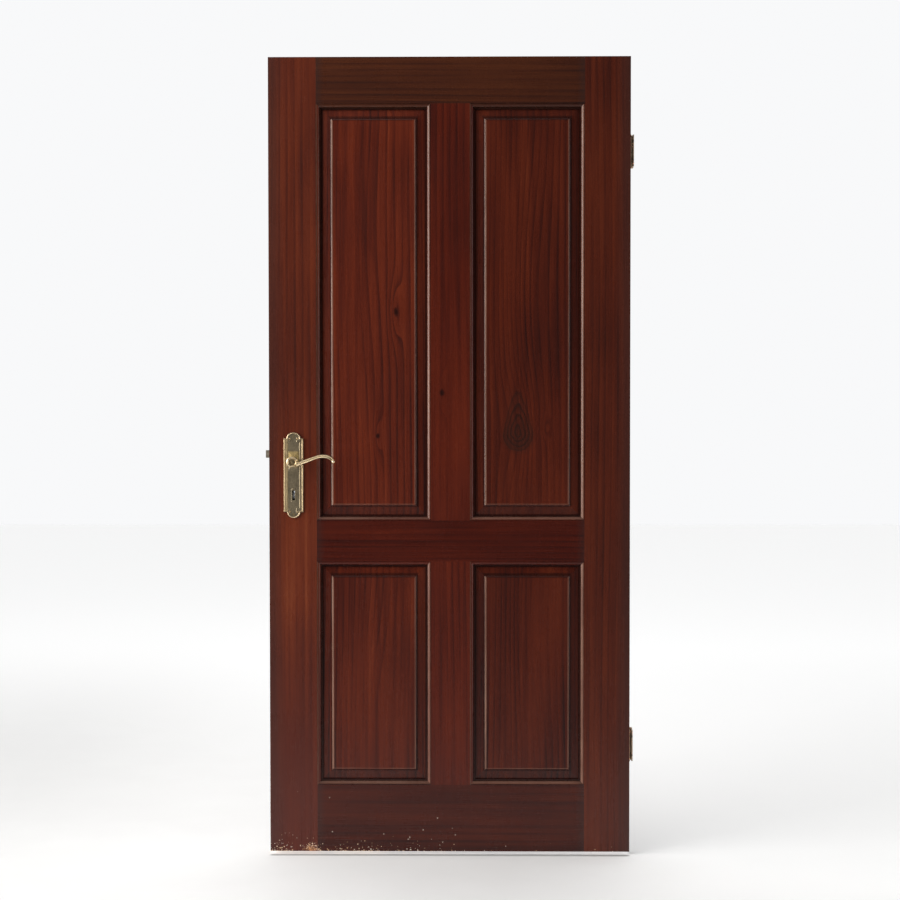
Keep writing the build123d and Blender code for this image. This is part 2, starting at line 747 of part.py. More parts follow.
# springs lie along X
latch_coil = coil(2.5, 0.5, (spindle_x - 12.5) - (xl + 11.0) - 1.3, 12)
with BuildPart() as latch_spring:
    p = Plane(origin=(xl + 11.0 + 0.65, 2.1, latch_z), x_dir=(0, 1, 0), z_dir=(1, 0, 0))
    add(p.location * latch_coil)
latch_spring.part.label = "latch_spring"
export_step(latch_spring.part, "parts/latch_spring.step")

follower_coil = coil(3.6, 0.7, (spindle_x - 3.0) - (spindle_x - 38.0) - 1.8, 9)
with BuildPart() as follower_spring:
    p = Plane(origin=(spindle_x - 38.0 + 0.9, 0, 991.5), x_dir=(0, 1, 0), z_dir=(1, 0, 0))
    add(p.location * follower_coil)
follower_spring.part.label = "follower_spring"
export_step(follower_spring.part, "parts/follower_spring.step")

# ---------------------------------------------------------------- dead bolt
stump_x = spindle_x - 16.0
stump_z = 951.0
with BuildPart() as dead_bolt:
    with Locations(((xl + 0.4 + xl + 23.0) / 2, 0, dead_z)):
        Box(22.6, 2 * latch_half_t, 2 * dead_half_h)
    with Locations(((xl + 22.0 + spindle_x + 14.0) / 2, -2.8, 949.0)):
        Box(spindle_x + 14.0 - xl - 22.0, 5.6, 16.0)
    # talon that the key's bit enters
    with Locations((spindle_x + 4.0, -2.8, 944.0)):
        Box(14.0, 8.0, 10.0, mode=Mode.SUBTRACT)
    with BuildSketch(Plane(origin=(0, -1.0, 0), x_dir=(1, 0, 0), z_dir=(0, -1, 0))):
        with Locations((stump_x, stump_z)):
            Circle(1.8)
    extrude(amount=-5.2)
dead_bolt.part.label = "dead_bolt"
export_step(dead_bolt.part, "parts/dead_bolt.step")

# ---------------------------------------------------------------- tumbler
with BuildPart() as tumbler:
    with BuildSketch(Plane(origin=(0, 2.6, 0), x_dir=(1, 0, 0), z_dir=(0, -1, 0))):
        with BuildLine():
            Polyline(
                (spindle_x - 38.0, 942.0),
                (spindle_x - 12.0, 942.0),
                (spindle_x - 6.0, 939.5),
                (spindle_x + 5.0, 939.5),
                (spindle_x + 14.0, 948.0),
                (spindle_x + 21.0, 962.0),
                (spindle_x + 21.0, 972.0),
                (spindle_x + 10.0, 973.0),
                (spindle_x - 4.0, 962.0),
                (spindle_x - 37.6, 960.0),
                (spindle_x - 37.6, 942.0),
            )
        make_face()
        with Locations((pivot_x, pivot_z)):
            Circle(2.55, mode=Mode.SUBTRACT)
        with Locations((spindle_x - 21.9, 949.4)):
            Rectangle(21.6, 9.8, mode=Mode.SUBTRACT)
    extrude(amount=2.0)
tumbler.part.label = "tumbler"
export_step(tumbler.part, "parts/tumbler.step")

with BuildPart() as tumbler_spring:
    with BuildSketch(Plane(origin=(0, 2.4, 0), x_dir=(1, 0, 0), z_dir=(0, -1, 0))):
        with BuildLine():
            Polyline(
                (spindle_x - 28.0, 961.1),
                (spindle_x - 22.0, 961.7),
                (spindle_x + 0.0, 977.0),
                (spindle_x + 22.0, 979.0),
                (spindle_x + 22.0, 979.7),
                (spindle_x - 0.3, 977.7),
                (spindle_x - 22.2, 962.4),
                (spindle_x - 28.0, 961.8),
                (spindle_x - 28.0, 961.1),
            )
        make_face()
    extrude(amount=1.6)
tumbler_spring.part.label = "tumbler_spring"
export_step(tumbler_spring.part, "parts/tumbler_spring.step")

# ---------------------------------------------------------------- spindle
with BuildPart() as spindle:
    with Locations((spindle_x, 0, spindle_z)):
        Box(square, 104.0, square)
    chamfer(spindle.edges().filter_by(Axis.Y), length=0.6)
spindle.part.label = "spindle"
export_step(spindle.part, "parts/spindle.step")


# ---------------------------------------------------------------- long plates
def plate_outline(shrink):
    """Outline of the long plate: rectangle with a round lobe at each end."""
    with Locations((spindle_x, (plate_z0 + plate_z1) / 2)):
        Rectangle(2 * (plate_half_w - shrink), plate_z1 - plate_z0 - 2 * shrink)
    with Locations((spindle_x, plate_z1 - shrink * 0.2)):
        Ellipse(lobe_top[0] - shrink, lobe_top[1] - shrink * 0.8)
    with Locations((spindle_x, plate_z0 + shrink * 0.2)):
        Ellipse(lobe_bottom[0] - shrink, lobe_bottom[1] - shrink * 0.8)


with BuildPart() as backplate_front:
    front = Plane(origin=(0, -face, 0), x_dir=(1, 0, 0), z_dir=(0, -1, 0))
    with BuildSketch(front):
        plate_outline(0)
    extrude(amount=5.4)
    rim = backplate_front.faces().sort_by(Axis.Y)[0].edges()
    chamfer(rim, length=1.3)
    # valley between the two beads of the border
    with BuildSketch(front.offset(3.4)):
        plate_outline(3.8)
    extrude(amount=4, mode=Mode.SUBTRACT)
    with BuildSketch(front.offset(3.0)):
        plate_outline(6.4)
    extrude(amount=2.2)
    bead = backplate_front.faces().filter_by_position(Axis.Y, -face - 5.21, -face - 5.19).edges()
    chamfer(bead, length=0.7)
    # sunk field
    with BuildSketch(front.offset(2.9)):
        plate_outline(10.4)
    extrude(amount=4, mode=Mode.SUBTRACT)
    # hipped boss around the spindle
    with BuildSketch(front.offset(2.5)):
        with Locations((spindle_x, spindle_z - 1.0)):
            Rectangle(30.0, 60.0)
    with BuildSketch(front.offset(8.0)):
        with Locations((spindle_x, spindle_z)):
            Rectangle(24.0, 26.0)
    loft()
    # raised rim of the keyhole
    with BuildSketch(front.offset(2.5)):
        with Locations((spindle_x, key_z - 1.2)):
            SlotOverall(35.0, 13.6, rotation=90)
        with Locations((spindle_x, key_z - 15.0)):
            Rectangle(13.6, 20.0)
    extrude(amount=2.0)
    # holes
    with BuildSketch(Plane.XZ):
        with Locations((spindle_x, spindle_z)):
            Circle(bush_r)
        keyhole_sketch(0)
    extrude(amount=40, mode=Mode.SUBTRACT)
    for z in plate_screw_z:
        p = Plane(origin=(spindle_x, -face - 2.9, z), x_dir=(1, 0, 0), z_dir=(0, -1, 0))
        with BuildSketch(p):
            Circle(1.9)
        extrude(amount=-6, mode=Mode.SUBTRACT)
        with BuildSketch(p.offset(0.2)):
            Circle(4.3)
        with BuildSketch(p.offset(-2.0)):
            Circle(1.9)
        loft(mode=Mode.SUBTRACT)
backplate_front.part.label = "backplate_front"
export_step(backplate_front.part, "parts/backplate_front.step")

with BuildPart() as backplate_back:
    add(mirror(backplate_front.part, about=Plane.XZ))
backplate_back.part.label = "backplate_back"
export_step(backplate_back.part, "parts/backplate_back.step")

plate_screw = screw_blank(1.75, 3.6, 1.9, 21.0, 0.9, 0.8)
with BuildPart() as plate_screws_front:
    for z in plate_screw_z:
        p = Plane(origin=(spindle_x, -face - 2.95, z), x_dir=(1, 0, 0), z_dir=(0, -1, 0))
        add(p.location * plate_screw)
plate_screws_front.part.label = "plate_screws_front"
export_step(plate_screws_front.part, "parts/plate_screws_front.step")

with BuildPart() as plate_screws_back:
    add(mirror(plate_screws_front.part, about=Plane.XZ))
plate_screws_back.part.label = "plate_screws_back"
export_step(plate_screws_back.part, "parts/plate_screws_back.step")

# ---------------------------------------------------------------- bushes and circlips
with BuildPart() as lever_bush_front:
    with BuildSketch(Plane(origin=(0, -face + 0.8, 0), x_dir=(1, 0, 0), z_dir=(0, -1, 0))):
        with Locations((spindle_x, spindle_z)):
            Circle(bush_r)
            Circle(neck_r + run, mode=Mode.SUBTRACT)
    extrude(amount=8.6)
lever_bush_front.part.label = "lever_bush_front"
export_step(lever_bush_front.part, "parts/lever_bush_front.step")

with BuildPart() as lever_bush_back:
    add(mirror(lever_bush_front.part, about=Plane.XZ))
lever_bush_back.part.label = "lever_bush_back"
export_step(lever_bush_back.part, "parts/lever_bush_back.step")

clip_h0 = 17.8
clip_h1 = 18.9
with BuildPart() as lever_circlip_front:
    with BuildSketch(Plane(origin=(0, -clip_h0, 0), x_dir=(1, 0, 0), z_dir=(0, -1, 0))):
        with Locations((spindle_x, spindle_z)):
            Circle(10.4)
            Circle(7.3, mode=Mode.SUBTRACT)
        with Locations((spindle_x, spindle_z - 9.0)):
            Rectangle(5.0, 8.0, mode=Mode.SUBTRACT)
    extrude(amount=clip_h1 - clip_h0)
lever_circlip_front.part.label = "lever_circlip_front"
export_step(lever_circlip_front.part, "parts/lever_circlip_front.step")

with BuildPart() as lever_circlip_back:
    add(mirror(lever_circlip_front.part, about=Plane.XZ))
lever_circlip_back.part.label = "lever_circlip_back"
export_step(lever_circlip_back.part, "parts/lever_circlip_back.step")

# ---------------------------------------------------------------- levers
# centreline of the grip from the spindle, x, z and full height of its section
grip = [
    (5.0, -4.6, 10.0),
    (17.0, -2.6, 11.0),
    (29.0, 0.6, 10.2),
    (42.0, 5.0, 8.9),
    (54.0, 9.7, 8.2),
    (63.0, 12.7, 8.2),
    (72.0, 14.7, 8.6),
    (81.0, 15.2, 8.9),
    (90.0, 13.7, 9.2),
    (97.0, 10.6, 8.8),
    (102.3, 6.4, 8.2),
    (105.0, 2.2, 7.6),
]
scroll_c = (-0.4, 1.4)
scroll_r = 10.8
scroll_tube = 2.6


def tangent(i):
    a = grip[max(i - 1, 0)]
    b = grip[min(i + 1, len(grip) - 1)]
    v = Vector(b[0] - a[0], 0, b[1] - a[1])
    return v.normalized()


with BuildPart() as lever_front:
    # neck turned about the spindle
    with BuildSketch(Plane(origin=(spindle_x, 0, spindle_z), x_dir=(1, 0, 0), z_dir=(0, 0, 1))):
        with BuildLine():
            Polyline(
                (0, -16.6),
                (neck_r, -16.6),
                (neck_r, -17.7),
                (7.2, -17.7),
                (7.2, -19.0),
                (neck_r, -19.0),
                (neck_r, -29.0),
                (10.6, -29.0),
                (10.6, -31.5),
                (8.6, -33.5),
            )
            ThreePointArc((8.6, -33.5), (7.0, -45.0), (8.8, -56.5))
            Polyline((8.8, -56.5), (11.6, -59.0), (11.6, -63.2), (0, -63.2), (0, -16.6))
        make_face()
    revolve(axis=Axis((spindle_x, 0, spindle_z), (0, 1, 0)))
    # grip
    for i, (gx, gz, gh) in enumerate(grip):
        t = tangent(i)
        with BuildSketch(Plane(origin=(spindle_x + gx, -arm_h, spindle_z + gz), x_dir=(0, 1, 0), z_dir=t)):
            Ellipse(4.7, gh / 2)
    loft()
    # ball at the tip of the grip
    with Locations((spindle_x + 105.2, -arm_h, spindle_z + 1.6)):
        Sphere(4.6)
    # scroll at the root
    with BuildLine(Plane(origin=(spindle_x, -arm_h - 1.2, spindle_z), x_dir=(1, 0, 0), z_dir=(0, -1, 0))) as curl:
        CenterArc(scroll_c, scroll_r, 306, -276)
    with BuildSketch(Plane(origin=curl.line @ 0, z_dir=curl.line % 0)):
        Circle(scroll_tube)
    sweep(path=curl.line)
    end = curl.line @ 1
    with Locations(end):
        Sphere(3.0)
    # square socket and the grub screw's hole
    with BuildSketch(Plane(origin=(0, -16.6, 0), x_dir=(1, 0, 0), z_dir=(0, -1, 0))):
        with Locations((spindle_x, spindle_z)):
            Rectangle(square + 0.1, square + 0.1)
    extrude(amount=36.4, mode=Mode.SUBTRACT)
    with BuildSketch(Plane(origin=(spindle_x, -38.0, spindle_z), x_dir=(1, 0, 0), z_dir=(0, 0, -1))):
        Circle(2.5)
    extrude(amount=12.0, mode=Mode.SUBTRACT)
lever_front.part.label = "lever_front"
export_step(lever_front.part, "parts/lever_front.step")

with BuildPart() as lever_back:
    add(mirror(lever_front.part, about=Plane.XZ))
lever_back.part.label = "lever_back"
export_step(lever_back.part, "parts/lever_back.step")

with BuildPart() as grub_screws:
    for y in (-38.0, 38.0):
        with BuildSketch(Plane(origin=(spindle_x, y, spindle_z - square / 2), x_dir=(1, 0, 0), z_dir=(0, 0, -1))):
            Circle(2.45)
        extrude(amount=3.0)
        with BuildSketch(Plane(origin=(spindle_x, y, spindle_z - square / 2 - 3.0), x_dir=(1, 0, 0), z_dir=(0, 0, -1))):
            RegularPolygon(1.4, 6)
        extrude(amount=-1.6, mode=Mode.SUBTRACT)
grub_screws.part.label = "grub_screws"
export_step(grub_screws.part, "parts/grub_screws.step")
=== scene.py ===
import bpy, bmesh, math
import numpy as np
from mathutils import Vector, Matrix


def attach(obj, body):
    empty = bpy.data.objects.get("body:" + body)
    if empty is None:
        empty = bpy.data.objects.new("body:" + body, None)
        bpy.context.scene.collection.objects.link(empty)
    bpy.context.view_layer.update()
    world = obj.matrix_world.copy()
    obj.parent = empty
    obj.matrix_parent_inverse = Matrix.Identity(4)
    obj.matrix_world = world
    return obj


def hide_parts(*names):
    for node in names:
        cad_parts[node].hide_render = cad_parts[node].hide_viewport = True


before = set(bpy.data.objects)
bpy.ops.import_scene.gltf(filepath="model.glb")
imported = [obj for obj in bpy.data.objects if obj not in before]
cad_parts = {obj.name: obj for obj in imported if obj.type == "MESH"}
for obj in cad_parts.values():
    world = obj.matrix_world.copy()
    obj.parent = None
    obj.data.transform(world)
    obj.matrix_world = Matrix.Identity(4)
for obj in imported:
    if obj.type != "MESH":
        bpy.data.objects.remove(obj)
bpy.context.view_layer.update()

# ------------------------------------------------------------------ sizes (metres)
XL, XR = -0.463, 0.463
FACE = 0.020
SX, SZ = -0.400, 1.007  # spindle
KEY_Z = 0.929
HINGE_Z = (1.803, 0.272)
OPEN = {
    "lower_left": (-0.341, -0.0475, 0.1725, 0.750),
    "lower_right": (0.0525, 0.3465, 0.1725, 0.750),
    "upper_left": (-0.341, -0.0475, 0.8555, 1.9215),
    "upper_right": (0.0525, 0.3465, 0.8555, 1.9215),
}


# ------------------------------------------------------------------ node helpers
class Net:
    def __init__(self, name):
        self.mat = bpy.data.materials.new(name)
        self.mat.use_nodes = True
        self.t = self.mat.node_tree
        self.t.nodes.clear()
        self.out = self.t.nodes.new("ShaderNodeOutputMaterial")
        self.b = self.t.nodes.new("ShaderNodeBsdfPrincipled")
        self.t.links.new(self.b.outputs[0], self.out.inputs[0])
        self.co = self.t.nodes.new("ShaderNodeTexCoord").outputs["Object"]

    def put(self, sock, v):
        if isinstance(v, bpy.types.NodeSocket):
            self.t.links.new(v, sock)
        elif v is not None:
            sock.default_value = v

    def m(self, op, a, b=None, c=None, clamp=False):
        n = self.t.nodes.new("ShaderNodeMath")
        n.operation = op
        n.use_clamp = clamp
        self.put(n.inputs[0], a)
        if b is not None:
            self.put(n.inputs[1], b)
        if c is not None:
            self.put(n.inputs[2], c)
        return n.outputs[0]

    def xyz(self, v=None):
        n = self.t.nodes.new("ShaderNodeSeparateXYZ")
        self.put(n.inputs[0], self.co if v is None else v)
        return n.outputs

    def vec(self, x, y, z):
        n = self.t.nodes.new("ShaderNodeCombineXYZ")
        for i, v in enumerate((x, y, z)):
            self.put(n.inputs[i], v)
        return n.outputs[0]

    def mapped(self, v, scale, loc=(0, 0, 0)):
        n = self.t.nodes.new("ShaderNodeMapping")
        self.put(n.inputs[0], v)
        n.inputs["Location"].default_value = loc
        n.inputs["Scale"].default_value = scale
        return n.outputs[0]

    def noise(self, v, scale=1.0, detail=4.0, rough=0.55, dist=0.0):
        n = self.t.nodes.new("ShaderNodeTexNoise")
        self.put(n.inputs["Vector"], v)
        n.inputs["Scale"].default_value = scale
        n.inputs["Detail"].default_value = detail
        n.inputs["Roughness"].default_value = rough
        n.inputs["Distortion"].default_value = dist
        return n.outputs[0]

    def voro(self, v, scale=1.0, out="Distance", rnd=1.0):
        n = self.t.nodes.new("ShaderNodeTexVoronoi")
        self.put(n.inputs["Vector"], v)
        n.inputs["Scale"].default_value = scale
        n.inputs["Randomness"].default_value = rnd
        return n.outputs[out]

    def ramp(self, f, stops, interp="LINEAR"):
        n = self.t.nodes.new("ShaderNodeValToRGB")
        n.color_ramp.interpolation = interp
        e = n.color_ramp.elements
        while len(e) < len(stops):
            e.new(0.5)
        for i, (p, c) in enumerate(stops):
            e[i].position = p
            if isinstance(c, (int, float)):
                c = (c, c, c)
            e[i].color = (*c, 1)
        self.put(n.inputs[0], f)
        return n.outputs[0]

    def mix(self, f, a, b, kind="MIX"):
        n = self.t.nodes.new("ShaderNodeMix")
        n.data_type = "RGBA"
        n.blend_type = kind
        self.put(n.inputs["Factor"], f)
        for s, v in (("A", a), ("B", b)):
            k = [i for i in n.inputs if i.name == s and i.type == "RGBA"][0]
            if isinstance(v, tuple):
                k.default_value = (*v, 1) if len(v) == 3 else v
            else:
                self.put(k, v)
        return [o for o in n.outputs if o.type == "RGBA"][0]

    def sstep(self, v, a, b):
        n = self.t.nodes.new("ShaderNodeMapRange")
        n.interpolation_type = "SMOOTHSTEP"
        self.put(n.inputs["Value"], v)
        n.inputs["From Min"].default_value = a
        n.inputs["From Max"].default_value = b
        n.inputs["To Min"].default_value = 0.0
        n.inputs["To Max"].default_value = 1.0
        return n.outputs[0]

    def bump(self, h, strength, dist, normal=None):
        n = self.t.nodes.new("ShaderNodeBump")
        n.inputs["Strength"].default_value = strength
        n.inputs["Distance"].default_value = dist
        self.put(n.inputs["Height"], h)
        if normal is not None:
            self.put(n.inputs["Normal"], normal)
        return n.outputs[0]

    def edge(self, radius):
        """Mask of the arrises: where a rounded normal leaves the face's own."""
        n = self.t.nodes.new("ShaderNodeBevel")
        n.samples = 4
        n.inputs["Radius"].default_value = radius
        g = self.t.nodes.new("ShaderNodeNewGeometry")
        d = self.t.nodes.new("ShaderNodeVectorMath")
        d.operation = "DOT_PRODUCT"
        self.put(d.inputs[0], n.outputs[0])
        self.put(d.inputs[1], g.outputs["Normal"])
        return self.sstep(self.m("SUBTRACT", 1.0, d.outputs["Value"]), 0.02, 0.22)


def opening_depth(k, s):
    """Distance inside the nearest opening of the frame, from its moulding's outer edge (m)."""
    best = None
    sides = {"left": [], "right": [], "top": [], "foot": []}
    for x0, x1, z0, z1 in OPEN.values():
        sides["left"].append(k.m("SUBTRACT", s[0], x0))
        sides["right"].append(k.m("SUBTRACT", x1, s[0]))
        sides["top"].append(k.m("SUBTRACT", z1, s[2]))
        sides["foot"].append(k.m("SUBTRACT", s[2], z0))
        dx = k.m("SUBTRACT", k.m("ABSOLUTE", k.m("SUBTRACT", s[0], (x0 + x1) / 2)), (x1 - x0) / 2)
        dz = k.m("SUBTRACT", k.m("ABSOLUTE", k.m("SUBTRACT", s[2], (z0 + z1) / 2)), (z1 - z0) / 2)
        d = k.m("MULTIPLY", k.m("MAXIMUM", dx, dz), -1.0)
        best = d if best is None else k.m("MAXIMUM", best, d)
    near = {}
    for key, ds in sides.items():
        gap = None
        for one in ds:
            g = k.m("ABSOLUTE", k.m("SUBTRACT", one, best))
            gap = g if gap is None else k.m("MINIMUM", gap, g)
        near[key] = k.m("SUBTRACT", 1.0, k.sstep(gap, 0.0002, 0.0009))
    return best, near


def band(k, d, a, b, soft):
    """1 between a and b, with soft shoulders."""
    return k.m("MULTIPLY", k.sstep(d, a - soft, a), k.m("SUBTRACT", 1.0, k.sstep(d, b, b + soft)))


# ------------------------------------------------------------------ wood
# knots: x, z, half width, half height, strength (in ring spacings), dark core radius
def wood(name, axis, seed, knots=(), tone=1.0, red=1.0, ring=0.016, swing=0.030, dirt=1.0, cool=1.0, grain=1.0, flame=None, nicks=()):
    """Red-brown stained pine under satin varnish; the grain runs along axis."""
    k = Net(name)
    s = k.xyz()
    # u across the grain, v along it, w through the thickness
    u, v, w = (s[0], s[2], s[1]) if axis == "z" else (s[2], s[0], s[1])
    seedv = (seed * 1.37, seed * 2.11, seed * 0.73)
    flow = k.noise(k.mapped(k.vec(u, w, v), (3.0, 3.0, 0.55), seedv), 1.0, 2.0, 0.45)
    bend = k.m("MULTIPLY", k.m("SUBTRACT", flow, 0.5), swing * 2)
    rings = k.m("ADD", u, bend)
    rings = k.m("ADD", rings, k.m("MULTIPLY", w, 0.35))
    core = None
    for kx, kz, hx, hz, amp, cr in knots:
        du = k.m("DIVIDE", k.m("SUBTRACT", u, kx if axis == "z" else kz), hx)
        dv = k.m("DIVIDE", k.m("SUBTRACT", v, kz if axis == "z" else kx), hz)
        d2 = k.m("ADD", k.m("MULTIPLY", du, du), k.m("MULTIPLY", dv, dv))
        g = k.m("EXPONENT", k.m("MULTIPLY", d2, -1.0))
        rings = k.m("ADD", rings, k.m("MULTIPLY", g, amp * ring))
        if cr:
            cu = k.m("DIVIDE", k.m("SUBTRACT", u, kx if axis == "z" else kz), cr)
            cv = k.m("DIVIDE", k.m("SUBTRACT", v, kz if axis == "z" else kx), cr * 1.5)
            dd = k.m("SQRT", k.m("ADD", k.m("MULTIPLY", cu, cu), k.m("MULTIPLY", cv, cv)))
            dd = k.m("ADD", dd, k.m("MULTIPLY", k.m("SUBTRACT", k.noise(k.mapped(k.co, (60, 60, 60)), 1.0, 2.0), 0.5), 0.8))
            c = k.m("SUBTRACT", 1.0, k.sstep(dd, 0.45, 1.25))
            core = c if core is None else k.m("MAXIMUM", core, c)
    phase = k.m("FRACT", k.m("DIVIDE", rings, ring))
    late = k.ramp(phase, [(0.0, 0.0), (0.55, 0.28), (0.86, 0.95), (0.93, 1.0), (1.0, 0.0)], "EASE")
    late_h = k.m("MULTIPLY", late, k.sstep(k.noise(k.mapped(k.vec(u, w, v), (9, 9, 1.2), seedv), 1.0, 2.0), 0.30, 0.72))
    # fine fibres and long pores
    fib = k.noise(k.mapped(k.vec(u, w, v), (900, 900, 14), seedv), 1.0, 3.0, 0.6)
    streak = k.noise(k.mapped(k.vec(u, w, v), (70, 70, 1.6), seedv), 1.0, 4.0, 0.6)
    cloud = k.noise(k.mapped(k.vec(u, w, v), (7, 7, 2.2), seedv), 1.0, 3.0, 0.5)
    sk = 0.62 * (0.45 + 0.55 * grain)
    tone_f = k.m("ADD", k.m("MULTIPLY", streak, sk), k.m("MULTIPLY", cloud, 0.42))
    tone_f = k.m("ADD", tone_f, (0.62 - sk) * 0.5 - 0.27 * (1 - grain) * 0.30)
    tone_f = k.m("SUBTRACT", tone_f, k.m("MULTIPLY", late_h, 0.27 * grain))
    tone_f = k.m("ADD", tone_f, k.m("MULTIPLY", k.m("SUBTRACT", fib, 0.5), 0.16))
    if name == "wood_lock_stile":
        tone_f = k.m("ADD", tone_f, k.m("MULTIPLY", band(k, s[2], 0.70, 1.45, 0.25), 0.030))
    col = k.ramp(
        tone_f,
        [
            (0.22, (0.036 * tone, 0.0074 * tone * cool, 0.0057 * tone * cool)),
            (0.42, (0.089 * tone * red, 0.0124 * tone * cool, 0.0061 * tone * cool)),
            (0.58, (0.138 * tone * red, 0.0196 * tone * cool, 0.0077 * tone * cool)),
            (0.80, (0.232 * tone * red, 0.0440 * tone * cool, 0.0158 * tone * cool)),
        ],
    )
    if name == "wood_lock_stile":
        col = k.mix(k.m("MULTIPLY", k.m("SUBTRACT", 1.0, k.sstep(s[2], 0.15, 0.85)), 0.55), col, (0.078, 0.0145, 0.0092))
    if flame is not None:
        # a knot cut lengthways: nested arches, pointed above and flat below
        fx, fz, wx, up_h, low_h = flame
        wob = k.m("MULTIPLY", k.m("SUBTRACT", k.noise(k.mapped(k.co, (34, 34, 34)), 1.0, 3.0, 0.5), 0.5), 0.30)
        fu = k.m("DIVIDE", k.m("SUBTRACT", u, fx), wx)
        dz = k.m("SUBTRACT", v, fz)
        fv = k.m("MAXIMUM", k.m("DIVIDE", dz, up_h), k.m("DIVIDE", k.m("MULTIPLY", dz, -1.0), low_h))
        narrow = k.m("ADD", 1.0, k.m("MULTIPLY", k.m("MAXIMUM", k.m("DIVIDE", dz, up_h), 0.0), 0.55))
        fu = k.m("MULTIPLY", fu, narrow)
        fr = k.m("ADD", k.m("SQRT", k.m("ADD", k.m("MULTIPLY", fu, fu), k.m("MULTIPLY", fv, fv))), wob)
        lines = k.ramp(k.m("FRACT", k.m("MULTIPLY", fr, 3.8)), [(0.0, 0.0), (0.40, 0.15), (0.78, 1.0), (1.0, 0.0)], "EASE")
        body = k.m("SUBTRACT", 1.0, k.sstep(fr, 0.80, 1.30))
        lowm = k.m("SUBTRACT", 1.0, k.sstep(dz, -0.030, 0.060))
        amount = k.m("MULTIPLY", body, k.m("ADD", 0.80, k.m("MULTIPLY", lowm, 0.15)))
        col = k.mix(k.m("MULTIPLY", amount, lines), col, (0.013, 0.0060, 0.0045))
        col = k.mix(k.m("MULTIPLY", body, k.m("ADD", 0.22, k.m("MULTIPLY", lowm, 0.34))), col, (0.030, 0.0115, 0.0080))
    if core is not None:
        col = k.mix(k.m("MULTIPLY", core, 0.88), col, (0.012, 0.0035, 0.003))
    # dust and small pale nicks, most of them low down
    x, y, z = s
    # painted shade: darker in the hollows of the moulding and at the base of the panel's raised edge, strongest on the
    # upward-facing step at the top of each panel and over the margin along its foot
    d, near = opening_depth(k, s)
    painted_shade = k.m("MAXIMUM", band(k, d, 0.0092, 0.0146, 0.0012), k.m("MULTIPLY", band(k, d, 0.0003, 0.0016, 0.0004), 0.75))
    painted_shade = k.m("MAXIMUM", painted_shade, k.m("MULTIPLY", band(k, d, 0.0352, 0.0392, 0.0012), 0.74))
    painted_shade = k.m("MAXIMUM", painted_shade, k.m("MULTIPLY", band(k, d, 0.0140, 0.0165, 0.0025), 0.30))
    painted_shade = k.m("MAXIMUM", painted_shade, k.m("MULTIPLY", k.m("MULTIPLY", band(k, d, 0.0325, 0.0405, 0.0035), near["top"]), 0.80))
    painted_shade = k.m("MAXIMUM", painted_shade, k.m("MULTIPLY", k.m("MULTIPLY", band(k, d, 0.0150, 0.0360, 0.0030), near["foot"]), 0.42))
    uneven = k.m("ADD", 0.80, k.m("MULTIPLY", k.m("SUBTRACT", cloud, 0.5), 0.5))
    painted_shade = k.m("MULTIPLY", painted_shade, uneven)
    col = k.mix(k.m("MULTIPLY", painted_shade, 0.86), col, (0.0075, 0.0030, 0.0026))
    # painted highlights: paler varnish colour where the light catches the moulding, on the left-facing step of each
    # field, the left-facing sticking at the right of each opening, the upward-facing sticking at the foot and thin
    # arrises
    along = k.noise(k.mapped(k.vec(x, y, z), (5.0, 5.0, 5.0), seedv), 1.0, 3.0, 0.6)
    painted_highlight = k.m("MULTIPLY", k.m("MULTIPLY", band(k, d, 0.0384, 0.0422, 0.0007), near["left"]), 0.85)
    painted_highlight = k.m("MAXIMUM", painted_highlight, k.m("MULTIPLY", k.m("MULTIPLY", band(k, d, 0.0030, 0.0082, 0.0012), near["right"]), 0.62))
    painted_highlight = k.m("MAXIMUM", painted_highlight, k.m("MULTIPLY", k.m("MULTIPLY", band(k, d, 0.0030, 0.0086, 0.0012), near["foot"]), 0.40))
    painted_highlight = k.m("MAXIMUM", painted_highlight, k.m("MULTIPLY", k.m("MULTIPLY", band(k, d, 0.0412, 0.0424, 0.0004), near["foot"]), 0.45))
    painted_highlight = k.m("MAXIMUM", painted_highlight, k.m("MULTIPLY", k.m("MULTIPLY", band(k, d, 0.0002, 0.0022, 0.0006), near["left"]), 0.42))
    painted_highlight = k.m("MAXIMUM", painted_highlight, k.m("MULTIPLY", k.m("MULTIPLY", band(k, d, 0.0402, 0.0424, 0.0006), near["right"]), 0.42))
    painted_highlight = k.m("MULTIPLY", painted_highlight, k.m("ADD", 0.55, k.m("MULTIPLY", k.sstep(along, 0.34, 0.66), 0.45)))
    col = k.mix(painted_highlight, col, (0.270, 0.150, 0.105))
    # greyer along the outer edges of the leaf, a painted reflection of the pale surroundings in the varnish, and greyer
    # at the shoulders of the rails
    out_d = k.m("SUBTRACT", 0.463, k.m("ABSOLUTE", x))
    grey_haze = k.m("MULTIPLY", k.m("SUBTRACT", 1.0, k.sstep(out_d, 0.004, 0.046)), 0.50)
    if axis == "x":
        sh = k.m("MINIMUM", k.m("ADD", x, 0.341), k.m("SUBTRACT", 0.3465, x))
        grey_haze = k.m("MULTIPLY", k.m("SUBTRACT", 1.0, k.sstep(sh, 0.001, 0.024)), 0.45)
    col = k.mix(k.m("MULTIPLY", grey_haze, k.m("ADD", 0.7, k.m("MULTIPLY", cloud, 0.6))), col, (0.034, 0.0185, 0.0165))
    chip = None
    if dirt:
